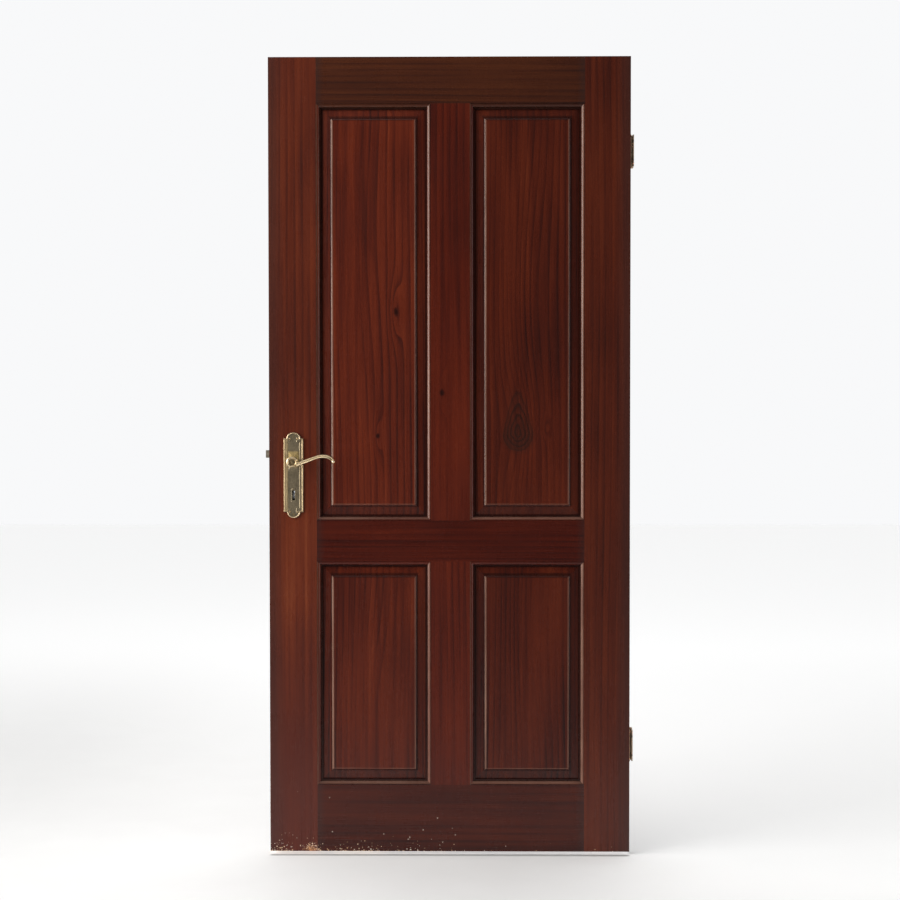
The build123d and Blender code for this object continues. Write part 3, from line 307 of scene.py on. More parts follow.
        # knocks and crumbs of raw wood along the foot, thick near the lock corner
        where = k.ramp(
            k.m("DIVIDE", k.m("ADD", x, 0.463), 0.926),
            [(0.0, 0.95), (0.05, 0.60), (0.088, 0.30), (0.118, 0.80), (0.155, 0.25), (0.19, 0.85), (0.28, 0.80), (0.34, 0.30), (0.50, 0.22), (0.56, 0.05)],
        )
        wob = k.mapped(k.vec(x, k.m("MULTIPLY", y, 0.3), z), (1.0, 1.0, 1.0), (0.013, 0.0, 0.007))
        cells = k.voro(wob, 330.0)
        pick = k.xyz(k.voro(wob, 330.0, "Color"))
        fade = k.m("EXPONENT", k.m("DIVIDE", k.m("MULTIPLY", z, -1.0), 0.0088))
        chance = k.m("MULTIPLY", k.m("MULTIPLY", where, fade), 0.40)
        cx = k.m("DIVIDE", k.m("SUBTRACT", x, -0.357), 0.017)
        cz = k.m("DIVIDE", z, 0.0150)
        cluster = k.m("EXPONENT", k.m("MULTIPLY", k.m("ADD", k.m("MULTIPLY", cx, cx), k.m("MULTIPLY", cz, cz)), -1.0))
        chance = k.m("ADD", chance, k.m("MULTIPLY", cluster, 1.9))
        line = k.m("MULTIPLY", k.m("SUBTRACT", 1.0, k.sstep(z, 0.0010, 0.0034)), where)
        chance = k.m("ADD", chance, k.m("MULTIPLY", line, 1.0))
        corner = k.m("MULTIPLY", k.m("SUBTRACT", 1.0, k.sstep(x, -0.428, -0.392)), k.m("EXPONENT", k.m("DIVIDE", k.m("MULTIPLY", z, -1.0), 0.024)))
        chance = k.m("ADD", chance, k.m("MULTIPLY", corner, 0.20))
        crumb = k.m("MULTIPLY", k.m("LESS_THAN", pick[0], chance), k.m("LESS_THAN", cells, k.m("ADD", k.m("ADD", 0.30, k.m("MULTIPLY", k.m("MAXIMUM", line, cluster), 0.25)), k.m("MULTIPLY", pick[1], 0.30))))
        front = k.m("SUBTRACT", 1.0, k.sstep(z, 0.045, 0.050))
        crumb = k.m("MULTIPLY", crumb, front)
        # single pale nicks higher up
        big = k.voro(wob, 52.0)
        bpick = k.xyz(k.voro(wob, 52.0, "Color"))
        bch = k.m("MULTIPLY", k.m("SUBTRACT", 1.0, k.sstep(z, 0.02, 0.15)), k.m("MULTIPLY", k.sstep(where, 0.10, 0.30), 0.12))
        nick = k.m("MULTIPLY", k.m("LESS_THAN", bpick[0], bch), k.m("LESS_THAN", big, k.m("ADD", 0.055, k.m("MULTIPLY", bpick[1], 0.050))))
        for nx, nz, na, nb in nicks:
            qx = k.m("DIVIDE", k.m("SUBTRACT", x, nx / 1000.0 - 0.463), na / 1000.0)
            qz = k.m("DIVIDE", k.m("SUBTRACT", z, nz / 1000.0), nb / 1000.0)
            q2 = k.m("ADD", k.m("MULTIPLY", qx, qx), k.m("MULTIPLY", qz, qz))
            nick = k.m("MAXIMUM", nick, k.m("LESS_THAN", k.m("ADD", q2, k.m("MULTIPLY", k.m("SUBTRACT", pick[1], 0.5), 0.5)), 1.0))
        chip = k.m("MAXIMUM", crumb, nick)
        raw = k.ramp(pick[2], [(0.0, (0.56, 0.34, 0.18)), (0.5, (0.62, 0.45, 0.31)), (1.0, (0.74, 0.64, 0.54))])
        raw = k.mix(k.m("MULTIPLY", cluster, 0.85), raw, (0.60, 0.235, 0.060))
        raw = k.mix(nick, raw, (0.50, 0.40, 0.33))
        col = k.mix(k.m("MULTIPLY", chip, k.m("ADD", 0.45, k.m("MULTIPLY", pick[1], 0.5))), col, raw)
    # rubbed arrises: worn varnish and a painted highlight, lighter along the edges
    e = k.edge(0.0011)
    rub = k.noise(k.mapped(k.co, (45, 45, 12), seedv), 1.0, 4.0, 0.65)
    wear_and_highlight = k.m("MULTIPLY", e, k.sstep(rub, 0.45, 0.75))
    col = k.mix(k.m("MULTIPLY", wear_and_highlight, 0.38), col, (0.20, 0.075, 0.042))
    k.put(k.b.inputs["Base Color"], col)
    rough = k.m("ADD", 0.19, k.m("MULTIPLY", k.noise(k.mapped(k.co, (18, 18, 9)), 1.0, 4.0), 0.12))
    rough = k.m("ADD", rough, k.m("MULTIPLY", fib, 0.05))
    if chip is not None:
        rough = k.m("ADD", rough, k.m("MULTIPLY", chip, 0.40))
    k.put(k.b.inputs["Roughness"], rough)
    k.b.inputs["Specular IOR Level"].default_value = 0.25
    k.b.inputs["Coat Weight"].default_value = 0.05
    k.b.inputs["Coat Roughness"].default_value = 0.20
    h = k.m("ADD", k.m("MULTIPLY", late_h, 0.5), k.m("MULTIPLY", fib, 0.35))
    h = k.m("ADD", h, k.m("MULTIPLY", streak, 0.6))
    if chip is not None:
        h = k.m("SUBTRACT", h, k.m("MULTIPLY", chip, 3.0))
    k.put(k.b.inputs["Normal"], k.bump(h, 0.35, 0.00025))
    return k.mat


def plain_wood(name, base, seed):
    k = Net(name)
    n = k.noise(k.mapped(k.co, (260, 260, 260), (seed, 0, 0)), 1.0, 4.0, 0.6)
    g = k.noise(k.mapped(k.co, (14, 900, 900), (seed, 1, 0)), 1.0, 3.0, 0.6)
    c = k.ramp(k.m("MULTIPLY", k.m("ADD", n, g), 0.5), [(0.3, tuple(v * 0.7 for v in base)), (0.7, base)])
    k.put(k.b.inputs["Base Color"], c)
    k.put(k.b.inputs["Roughness"], k.m("ADD", 0.5, k.m("MULTIPLY", n, 0.2)))
    k.put(k.b.inputs["Normal"], k.bump(g, 0.3, 0.0002))
    return k.mat


# ------------------------------------------------------------------ metals
def metal(name, bright, dark, rough=0.32, grime=0.5, height=None, edge_r=0.0006, scale=1.0, brush=None):
    """Metal that is bright where hands rub it and dark in its hollows.

    height: (plane distance from mid-plane in m, low, high) gives the hollows by their depth."""
    k = Net(name)
    s = k.xyz()
    mott = k.noise(k.mapped(k.co, (170 * scale, 170 * scale, 170 * scale)), 1.0, 5.0, 0.62)
    cloud = k.noise(k.mapped(k.co, (42 * scale, 42 * scale, 42 * scale), (4.2, 1.7, 0.3)), 1.0, 3.0, 0.5)
    f = k.m("ADD", k.m("MULTIPLY", mott, 0.55), k.m("MULTIPLY", cloud, 0.55))
    f = k.sstep(f, 0.36, 0.74)
    f = k.m("SUBTRACT", 1.0, k.m("MULTIPLY", f, grime))
    if height is not None:
        lo, hi = height
        up = k.sstep(k.m("ABSOLUTE", s[1]), lo, hi)
        f = k.m("MULTIPLY", f, up)
    if edge_r:
        e = k.edge(edge_r)
        f = k.m("MAXIMUM", f, k.m("MULTIPLY", e, 0.92), clamp=True)
    k.put(k.b.inputs["Base Color"], k.mix(f, dark, bright))
    k.b.inputs["Metallic"].default_value = 1.0
    r = k.m("ADD", rough, k.m("MULTIPLY", k.m("SUBTRACT", 1.0, f), 0.22))
    r = k.m("ADD", r, k.m("MULTIPLY", k.m("SUBTRACT", mott, 0.5), 0.18))
    k.put(k.b.inputs["Roughness"], r)
    h = k.m("ADD", mott, 0.0)
    if brush:
        h = k.m("ADD", h, k.m("MULTIPLY", k.noise(k.mapped(k.co, brush), 1.0, 2.0, 0.5), 0.8))
    k.put(k.b.inputs["Normal"], k.bump(h, 0.22, 0.00012))
    return k.mat


def paint(node, mat):
    o = bpy.data.objects.get(node)
    if o is None:
        raise SystemExit("no node " + node)
    if not o.data.materials:
        o.data.materials.append(mat)
    for i in range(len(o.material_slots)):
        o.material_slots[i].link = "OBJECT"
        o.material_slots[i].material = mat
    return o


W = {}
# nicks of the foot: mm from the lock edge, height, half width, half height
NICKS_LEFT = [(57.7, 41.8, 1.1, 1.1), (68.0, 34.0, 0.9, 1.3), (42.0, 14.6, 1.3, 1.1), (70.5, 154.7, 0.9, 0.9), (30.0, 30.0, 0.8, 0.8), (49.0, 47.0, 0.8, 0.7)]
NICKS_RAIL = [
    (153.0, 139.0, 1.7, 1.5), (160.0, 50.5, 1.6, 1.4), (292.5, 45.0, 1.6, 1.4), (360.0, 36.5, 1.3, 2.6), (356.0, 31.5, 2.4, 1.2), (394.5, 55.5, 1.7, 1.4),
    (352.7, 6.0, 1.8, 1.6), (478.0, 43.0, 1.5, 1.2), (416.0, 31.6, 1.0, 1.0), (445.0, 24.0, 1.5, 1.1), (253.7, 11.0, 1.8, 1.5), (234.7, 26.4, 1.2, 1.0),
    (209.0, 9.0, 1.4, 1.2), (385.0, 14.0, 1.1, 0.9), (470.0, 60.0, 0.9, 0.9),
]
W["lock_stile"] = wood("wood_lock_stile", "z", 1.0, tone=1.00, cool=1.35, grain=0.60, ring=0.019, swing=0.022, nicks=NICKS_LEFT)
W["hinge_stile"] = wood("wood_hinge_stile", "z", 2.0, tone=0.80, cool=1.30, grain=0.50, ring=0.017, swing=0.020)
W["top_rail"] = wood("wood_top_rail", "x", 3.0, tone=0.56, cool=1.9, grain=0.60, ring=0.016, swing=0.018, dirt=0)
W["mid_rail"] = wood("wood_mid_rail", "x", 4.0, tone=0.58, cool=0.90, grain=0.75, ring=0.016, swing=0.020, dirt=0)
W["bottom_rail"] = wood("wood_bottom_rail", "x", 5.0, tone=0.50, cool=1.10, grain=0.70, nicks=NICKS_RAIL, ring=0.021, swing=0.024)
W["upper_mullion"] = wood(
    "wood_upper_mullion", "z", 6.0, [(-0.0195, 1.183, 0.014, 0.055, 1.6, 0.0065)], tone=0.82, grain=0.50, ring=0.017, dirt=0
)
W["lower_mullion"] = wood("wood_lower_mullion", "z", 7.0, tone=0.79, grain=0.60, ring=0.017, dirt=0)
W["panel_upper_left"] = wood(
    "wood_panel_upper_left",
    "z",
    8.0,
    [
        (-0.137, 1.390, 0.017, 0.075, 1.9, 0.0075),
        (-0.184, 1.073, 0.012, 0.050, 1.2, 0.0050),
        (-0.235, 1.62, 0.060, 0.42, 2.0, 0),
    ],
    tone=0.94,
    cool=1.12,
    red=1.0,
    dirt=0,
)
W["panel_upper_right"] = wood(
    "wood_panel_upper_right",
    "z",
    9.0,
    [(0.176, 1.090, 0.046, 0.140, -2.4, 0), (0.205, 1.40, 0.060, 0.36, 2.0, 0), (0.247, 1.092, 0.012, 0.030, 1.2, 0)],
    flame=(0.176, 1.078, 0.038, 0.106, 0.044),
    tone=0.72,
    cool=1.15,
    grain=0.75,
    red=1.0,
    dirt=0,
)
W["panel_lower_left"] = wood(
    "wood_panel_lower_left", "z", 10.0, [(-0.19, 0.30, 0.05, 0.30, 2.2, 0)], tone=0.77, cool=1.1, red=1.0, dirt=0
)
W["panel_lower_right"] = wood(
    "wood_panel_lower_right", "z", 11.0, [(0.21, 0.62, 0.05, 0.26, 2.0, 0)], tone=0.62, cool=1.1, grain=0.85, red=1.0, dirt=0
)
for n, mt in W.items():
    paint(n, mt)

beech = plain_wood("beech", (0.52, 0.34, 0.19), 2.0)
for n in ("rail_dowels", "mullion_dowels"):
    paint(n, beech)

def plate_finish():
    """Antique brass: rubbed ridges, brown field, a golden patch behind the lever; the keyhole painted near-black as
    shade, painted shade in the right-hand valley by the rim and a painted highlight on the left border.
    """
    k = Net("antique_brass_plate")
    s = k.xyz()
    h = k.m("MULTIPLY", k.m("SUBTRACT", k.m("ABSOLUTE", s[1]), 0.020), 1000.0)  # height above the leaf, mm
    mott = k.noise(k.mapped(k.co, (230, 230, 230)), 1.0, 5.0, 0.62)
    cloud = k.noise(k.mapped(k.co, (52, 52, 52), (4.2, 1.7, 0.3)), 1.0, 3.0, 0.5)
    f = k.sstep(k.m("ADD", k.m("MULTIPLY", mott, 0.5), k.m("MULTIPLY", cloud, 0.6)), 0.36, 0.76)
    # field, ridges, golden boss
    field = k.mix(f, (0.30, 0.245, 0.160), (0.18, 0.148, 0.098))
    ridge = k.mix(f, (0.42, 0.310, 0.180), (0.29, 0.210, 0.120))
    ends = k.sstep(k.m("ABSOLUTE", k.m("SUBTRACT", s[2], 0.972)), 0.0925, 0.0965)
    ridge = k.mix(ends, ridge, (0.86, 0.68, 0.44))
    gold = k.mix(f, (0.52, 0.385, 0.155), (0.39, 0.275, 0.110))
    up = k.m("MULTIPLY", k.sstep(h, 3.3, 4.7), k.sstep(k.m("MAXIMUM", k.m("SUBTRACT", k.m("ABSOLUTE", k.m("SUBTRACT", s[0], SX)), 0.0), k.m("SUBTRACT", k.m("ABSOLUTE", k.m("SUBTRACT", s[2], 0.972)), 0.082)), 0.0140, 0.0158))
    c = k.mix(up, field, ridge)
    bx = k.m("SUBTRACT", 1.0, k.sstep(k.m("ABSOLUTE", k.m("SUBTRACT", s[0], SX)), 0.0120, 0.0150))
    bz = k.m("MULTIPLY", k.sstep(s[2], 0.988, 1.004), k.m("SUBTRACT", 1.0, k.sstep(s[2], 1.030, 1.0365)))
    c = k.mix(k.m("MULTIPLY", k.m("MULTIPLY", bx, bz), k.m("SUBTRACT", 0.95, k.m("MULTIPLY", f, 0.35))), c, gold)
    # painted shade: the keyhole and its slit are painted near-black and non-reflective so they read as a dark hole
    kxm = k.m("ABSOLUTE", k.m("SUBTRACT", s[0], SX))
    kzm = k.m("SUBTRACT", s[2], KEY_Z)
    rc = k.m("SQRT", k.m("ADD", k.m("MULTIPLY", kxm, kxm), k.m("MULTIPLY", kzm, kzm)))
    inside = k.m("SUBTRACT", 1.0, k.sstep(rc, 0.0041, 0.0047))
    slit = k.m("MULTIPLY", k.m("SUBTRACT", 1.0, k.sstep(kxm, 0.0031, 0.0036)), band(k, s[2], 0.9080, KEY_Z, 0.0004))
    inside = k.m("MAXIMUM", inside, slit)
    # painted shade in the valley beside the outer rim on the right side only, which faces away from the light, and a
    # darker ring in the hollow round the keyhole
    ax = k.m("ABSOLUTE", k.m("SUBTRACT", s[0], SX))
    low = k.m("SUBTRACT", 1.0, k.sstep(h, 2.95, 3.75))
    side = k.m("MULTIPLY", band(k, ax, 0.0175, 0.0225, 0.0012), k.m("MULTIPLY", k.sstep(s[2], 0.878, 0.882), k.m("SUBTRACT", 1.0, k.sstep(s[2], 1.062, 1.066))))
    right = k.sstep(k.m("SUBTRACT", s[0], SX), -0.002, 0.002)
    dark = k.m("MULTIPLY", k.m("MULTIPLY", k.m("MULTIPLY", low, side), right), 0.22)
    # painted highlight: the border on the left, which faces the light, is paler than on the right
    left_border_highlight = k.m("MULTIPLY", k.m("MULTIPLY", band(k, ax, 0.0148, 0.0240, 0.0010), k.m("SUBTRACT", 1.0, right)), band(k, s[2], 0.8800, 1.0640, 0.0020))
    c = k.mix(k.m("MULTIPLY", left_border_highlight, 0.75), c, k.mix(f, (0.56, 0.425, 0.240), (0.42, 0.315, 0.175)))
    curls = None
    for cx, cz in ((0.0096, 1.0656), (0.0099, 0.8784)):
        qx = k.m("SUBTRACT", ax, cx)
        qz = k.m("SUBTRACT", s[2], cz)
        q = k.m("SUBTRACT", 1.0, k.sstep(k.m("SQRT", k.m("ADD", k.m("MULTIPLY", qx, qx), k.m("MULTIPLY", qz, qz))), 0.0018, 0.0030))
        curls = q if curls is None else k.m("MAXIMUM", curls, q)
    c = k.mix(k.m("MULTIPLY", curls, 0.8), c, (0.80, 0.63, 0.40))
    kx = k.m("DIVIDE", ax, 0.0078)
    kz = k.m("DIVIDE", k.m("MAXIMUM", k.m("SUBTRACT", k.m("ABSOLUTE", k.m("SUBTRACT", s[2], 0.9205)), 0.0085), 0.0), 0.0078)
    kr = k.m("SQRT", k.m("ADD", k.m("MULTIPLY", kx, kx), k.m("MULTIPLY", kz, kz)))
    dark = k.m("MAXIMUM", dark, k.m("MULTIPLY", k.m("MULTIPLY", band(k, kr, 0.96, 1.10, 0.10), low), 0.35))
    c = k.mix(dark, c, (0.050, 0.040, 0.026))
    c = k.mix(inside, c, (0.008, 0.007, 0.006))
    k.put(k.b.inputs["Base Color"], c)
    boss = k.m("MULTIPLY", bx, bz)
    k.put(k.b.inputs["Metallic"], k.m("SUBTRACT", k.m("SUBTRACT", 1.0, inside), k.m("MULTIPLY", boss, 0.45)))
    k.b.inputs["Specular IOR Level"].default_value = 0.0
    r = k.m("ADD", 0.46, k.m("MULTIPLY", k.m("SUBTRACT", 1.0, up), 0.06))
    r = k.m("ADD", r, k.m("MULTIPLY", k.m("SUBTRACT", mott, 0.5), 0.2))
    r = k.m("MAXIMUM", k.m("MAXIMUM", r, inside), k.m("MULTIPLY", boss, 0.60))
    k.put(k.b.inputs["Roughness"], r)
    k.put(k.b.inputs["Normal"], k.bump(mott, 0.25, 0.00012))
    return k.mat


BR_BRIGHT = (0.62, 0.46, 0.27)
BR_DARK = (0.115, 0.095, 0.058)
plate_metal = plate_finish()
def lever_finish():
    """Brass polished by hands: bright ridges and brown flutes, with painted shade on the neck, inside the scroll and on
    the half of the scroll bar nearer the plate.
    """
    k = Net("antique_brass_lever")
    s = k.xyz()
    h = k.m("MULTIPLY", k.m("ABSOLUTE", s[1]), 1000.0)
    mott = k.noise(k.mapped(k.co, (190, 190, 190)), 1.0, 5.0, 0.6)
    f = k.sstep(mott, 0.36, 0.70)
    bright = k.mix(f, (0.97, 0.80, 0.53), (0.88, 0.68, 0.41))
    brown = k.mix(f, (0.34, 0.235, 0.115), (0.22, 0.150, 0.072))
    dx = k.m("SUBTRACT", s[0], SX)
    grip = k.sstep(dx, 0.013, 0.020)
    # painted shade: below the top of the scroll the brass is dark brown, on the neck, on the hub inside the scroll and
    # on the half of the scroll bar nearer the plate
    scroll_top_lit = k.sstep(h, 61.8, 64.6)
    flute = k.m("ADD", 0.22, k.m("MULTIPLY", k.sstep(h, 67.3, 68.1), 0.78))
    shank = k.m("MAXIMUM", flute, k.m("MULTIPLY", k.m("SUBTRACT", 1.0, k.sstep(h, 65.5, 66.9)), 0.9))
    up = k.m("ADD", k.m("MULTIPLY", grip, shank), k.m("MULTIPLY", k.m("SUBTRACT", 1.0, grip), k.m("ADD", 0.22, k.m("MULTIPLY", scroll_top_lit, 0.78))))
    k.put(k.b.inputs["Base Color"], k.mix(up, brown, bright))
    k.b.inputs["Metallic"].default_value = 1.0
    r = k.m("ADD", 0.30, k.m("MULTIPLY", k.m("SUBTRACT", 1.0, up), 0.16))
    k.put(k.b.inputs["Roughness"], k.m("ADD", r, k.m("MULTIPLY", k.m("SUBTRACT", mott, 0.5), 0.14)))
    k.put(k.b.inputs["Normal"], k.bump(mott, 0.16, 0.0001))
    return k.mat


lever_metal = lever_finish()


def hinge_finish():
    """Dull tan brass, half lost under varnish, with a dark ring at each joint of the knuckles."""
    k = Net("hinge_brass")
    s = k.xyz()
    n = k.noise(k.mapped(k.co, (170, 170, 170)), 1.0, 5.0, 0.62)
    c = k.ramp(n, [(0.34, (0.56, 0.410, 0.275)), (0.66, (0.44, 0.315, 0.205))])
    ring = None
    for cz in HINGE_Z:
        a = k.m("ABSOLUTE", k.m("SUBTRACT", s[2], cz))
        q = band(k, a, 0.0222, 0.0262, 0.0010)
        ring = q if ring is None else k.m("MAXIMUM", ring, q)
    ring = k.m("MULTIPLY", ring, k.sstep(s[0], 0.4635, 0.4665))
    c = k.mix(k.m("MULTIPLY", ring, 0.80), c, (0.030, 0.024, 0.020))
    c = k.mix(k.m("MULTIPLY", k.edge(0.0005), 0.55), c, (0.52, 0.40, 0.28))
    k.put(k.b.inputs["Base Color"], c)
    k.b.inputs["Metallic"].default_value = 0.10
    k.put(k.b.inputs["Roughness"], k.m("ADD", 0.44, k.m("MULTIPLY", n, 0.16)))
    h = k.m("ADD", n, k.m("MULTIPLY", k.noise(k.mapped(k.co, (30, 30, 900)), 1.0, 2.0, 0.5), 0.8))
    k.put(k.b.inputs["Normal"], k.bump(h, 0.22, 0.00012))
    return k.mat


hinge_metal = hinge_finish()
lock_metal = metal("lock_brass", (0.42, 0.37, 0.25), (0.15, 0.13, 0.09), 0.40, 0.6, None, 0.0004)
latch_metal = metal("tarnished_latch", (0.080, 0.068, 0.052), (0.035, 0.030, 0.024), 0.55, 0.6, None, 0.0)
steel = metal("zinc_steel", (0.56, 0.56, 0.55), (0.30, 0.30, 0.29), 0.38, 0.4, None, 0.0003)
def lacquer():
    k = Net("black_lacquered_steel")
    n = k.noise(k.mapped(k.co, (240, 240, 240)), 1.0, 4.0, 0.6)
    k.put(k.b.inputs["Base Color"], k.ramp(n, [(0.3, (0.016, 0.015, 0.014)), (0.7, (0.030, 0.028, 0.026))]))
    k.put(k.b.inputs["Roughness"], k.m("ADD", 0.5, k.m("MULTIPLY", n, 0.2)))
    k.b.inputs["Specular IOR Level"].default_value = 0.15
    k.put(k.b.inputs["Normal"], k.bump(n, 0.2, 0.0001))
    return k.mat


lock_dark = lacquer()
dark_steel = metal("dark_steel", (0.10, 0.095, 0.09), (0.035, 0.033, 0.030), 0.45, 0.5, None, 0.0)
screw_metal = metal("brass_screws", (0.50, 0.38, 0.22), (0.10, 0.08, 0.05), 0.36, 0.55, None, 0.0004)


def nylon():
    k = Net("nylon_bush")
    n = k.noise(k.mapped(k.co, (300, 300, 300)), 1.0, 3.0)
    k.put(k.b.inputs["Base Color"], k.ramp(n, [(0.3, (0.55, 0.53, 0.47)), (0.7, (0.66, 0.64, 0.58))]))
    k.put(k.b.inputs["Roughness"], k.m("ADD", 0.42, k.m("MULTIPLY", n, 0.12)))
    k.put(k.b.inputs["Normal"], k.bump(n, 0.15, 0.0001))
    return k.mat


nyl = nylon()
for side in ("upper", "lower"):
    for w_ in ("hinge_door_leaf_", "hinge_frame_leaf_", "hinge_pin_"):
        paint(w_ + side, hinge_metal)
    paint("hinge_washers_" + side, dark_steel)
    paint("hinge_screws_" + side, screw_metal)
for n in ("plate_screws_front", "plate_screws_back"):
    paint(n, screw_metal)
for n in ("fore_end", "fore_end_screws"):
    paint(n, lock_metal)
paint("latch_bolt", latch_metal)
for n in ("lock_case", "lock_cover", "lock_cover_screws", "follower", "dead_bolt", "tumbler"):
    paint(n, lock_dark)
for n in (
    "spindle", "grub_screws", "latch_spring", "follower_spring", "tumbler_spring", "lever_circlip_front",
    "lever_circlip_back",
):
    paint(n, steel)
for n in ("lever_bush_front", "lever_bush_back"):
    paint(n, nyl)


# ------------------------------------------------------------------ long plates
PZ0, PZ1 = 877.0, 1067.0
LOBE_T = (18.0, 15.0)
LOBE_B = (17.0, 14.8)
HALF_W = 25.5


def smax(a, b, k):
    h = np.clip(0.5 + 0.5 * (a - b) / k, 0, 1)
    return b * (1 - h) + a * h + k * h * (1 - h)


def outline_in(x, z):
    """Distance inside the plate's outline in mm (negative outside)."""
    zc = (PZ0 + PZ1) / 2
    qx = HALF_W - np.abs(x)
    qz = (PZ1 - PZ0) / 2 - np.abs(z - zc)
    box = np.where((qx > 0) & (qz > 0), np.minimum(qx, qz), -np.hypot(np.minimum(qx, 0), np.minimum(qz, 0)))

    def column(za, zb, a, b):
        """Upright strip between za and zb with an elliptical end beyond zb."""
        s_ = 1.0 if zb > za else -1.0
        e = np.maximum((z - zb) * s_, 0.0)
        r = np.hypot(x / a, e / b)
        g = np.hypot(x / a**2, e / b**2)
        end = np.where(e > 0, -(r - 1) * r / np.maximum(g, 1e-6), a - np.abs(x))
        return np.minimum(end, (z - za) * s_ + 20.0)

    e1 = column(zc, PZ1, *LOBE_T)
    e2 = column(zc, PZ0, *LOBE_B)
    return smax(smax(box, e1, 1.6), e2, 1.6)


def key_in(x, z):
    """Distance inside the keyhole in mm."""
    a = 3.3 - np.hypot(x, z - 929.0)
    zz = np.clip(z, 929.0 - 17.6, 929.0)
    b = 2.4 - np.hypot(x, z - zz)
    return np.maximum(a, b)


def st(x, a, b):
    t = np.clip((x - a) / (b - a), 0, 1)
    return t * t * (3 - 2 * t)


def bead(d, c, w):
    t = np.clip(np.abs(d - c) / w, 0, 1)
    return np.sqrt(1 - t * t)


def plate_height(x, z):
    d = outline_in(x, z)
    body = np.minimum(st(z, 873.0, 879.5), 1 - st(z, 1064.5, 1071.0))
    lobes = 1 - body
    h = 2.8 + 0.0 * d
    # outer rim, rounded over
    rim = np.where(d < 1.9, 2.3 + 3.0 * np.sqrt(np.clip(1 - ((1.9 - d) / 1.9) ** 2, 0, 1)), 5.3 - 0.0 * d)
    rim = np.where(d > 2.6, 5.3 - 1.4 * st(d, 2.6, 4.6), rim)
    # valley and inner bead of the straight part
    valley = 3.7 + 0.0 * d
    inner = 2.8 + 1.2 * bead(d, 8.2, 2.6) ** 0.8
    prof = np.where(d < 4.6, rim, np.maximum(valley, inner))
    prof = np.where(d > 8.2, inner, prof)
    lob = np.where(d < 3.4, np.where(d < 2.4, rim, 5.3 - 2.5 * st(d, 2.4, 3.6)), 2.8)
    h = prof * body + lob * lobes
    # small scrolls that end the inner bead at the shoulders
    for sx, cz, r in ((-1, 1065.6, 3.0), (1, 1065.6, 3.0), (-1, 878.4, 2.7), (1, 878.4, 2.7)):
        cx = sx * (9.6 if cz > 1000 else 9.9)
        q = np.hypot(x - cx, z - cz)
        ang = np.arctan2(z - cz, (x - cx) * sx)
        curl = 3.0 + 2.3 * np.clip(np.cos((q - 0.30 * r - 0.22 * r * ang / math.pi) * 2 * math.pi / (0.95 * r)) * 0.5 + 0.5, 0, 1)
        m = 1 - st(q, r * 0.86, r * 1.12)
        h = h * (1 - m) + np.maximum(curl, 2.8) * m
    # hipped boss behind the lever
    ax = np.abs(x)
    az = np.abs(z - 1007.0)
    rise = np.where(z > 1007.0, (29.0 - az) / 15.5, (29.0 - az) / 26.0)
    hip = 2.8 + 2.7 * (0.5 - 0.5 * np.cos(math.pi * np.clip(np.minimum((15.0 - ax) / 12.0, rise), 0, 1)))
    m = (ax < 15.0) & (az < 29.0)
    h = np.where(m, np.maximum(h, hip), h)
    # raised rim around the keyhole
    zz = np.clip(z, 912.0, 931.6)
    kd = np.maximum(6.9 - np.hypot(x, z - zz), np.minimum(6.7 - np.abs(x), np.minimum(z - 903.0, 931.6 - z)))
    krim = 2.8 + 0.9 * np.sqrt(np.clip(1 - ((1.2 - np.clip(kd, 0, 1.2)) / 1.2) ** 2, 0, 1))
    krim = np.where(kd > 3.0, krim - 0.3 * st(kd, 3.0, 4.0), krim)
    h = np.where(kd > 0, np.maximum(h, krim), h)
    return h


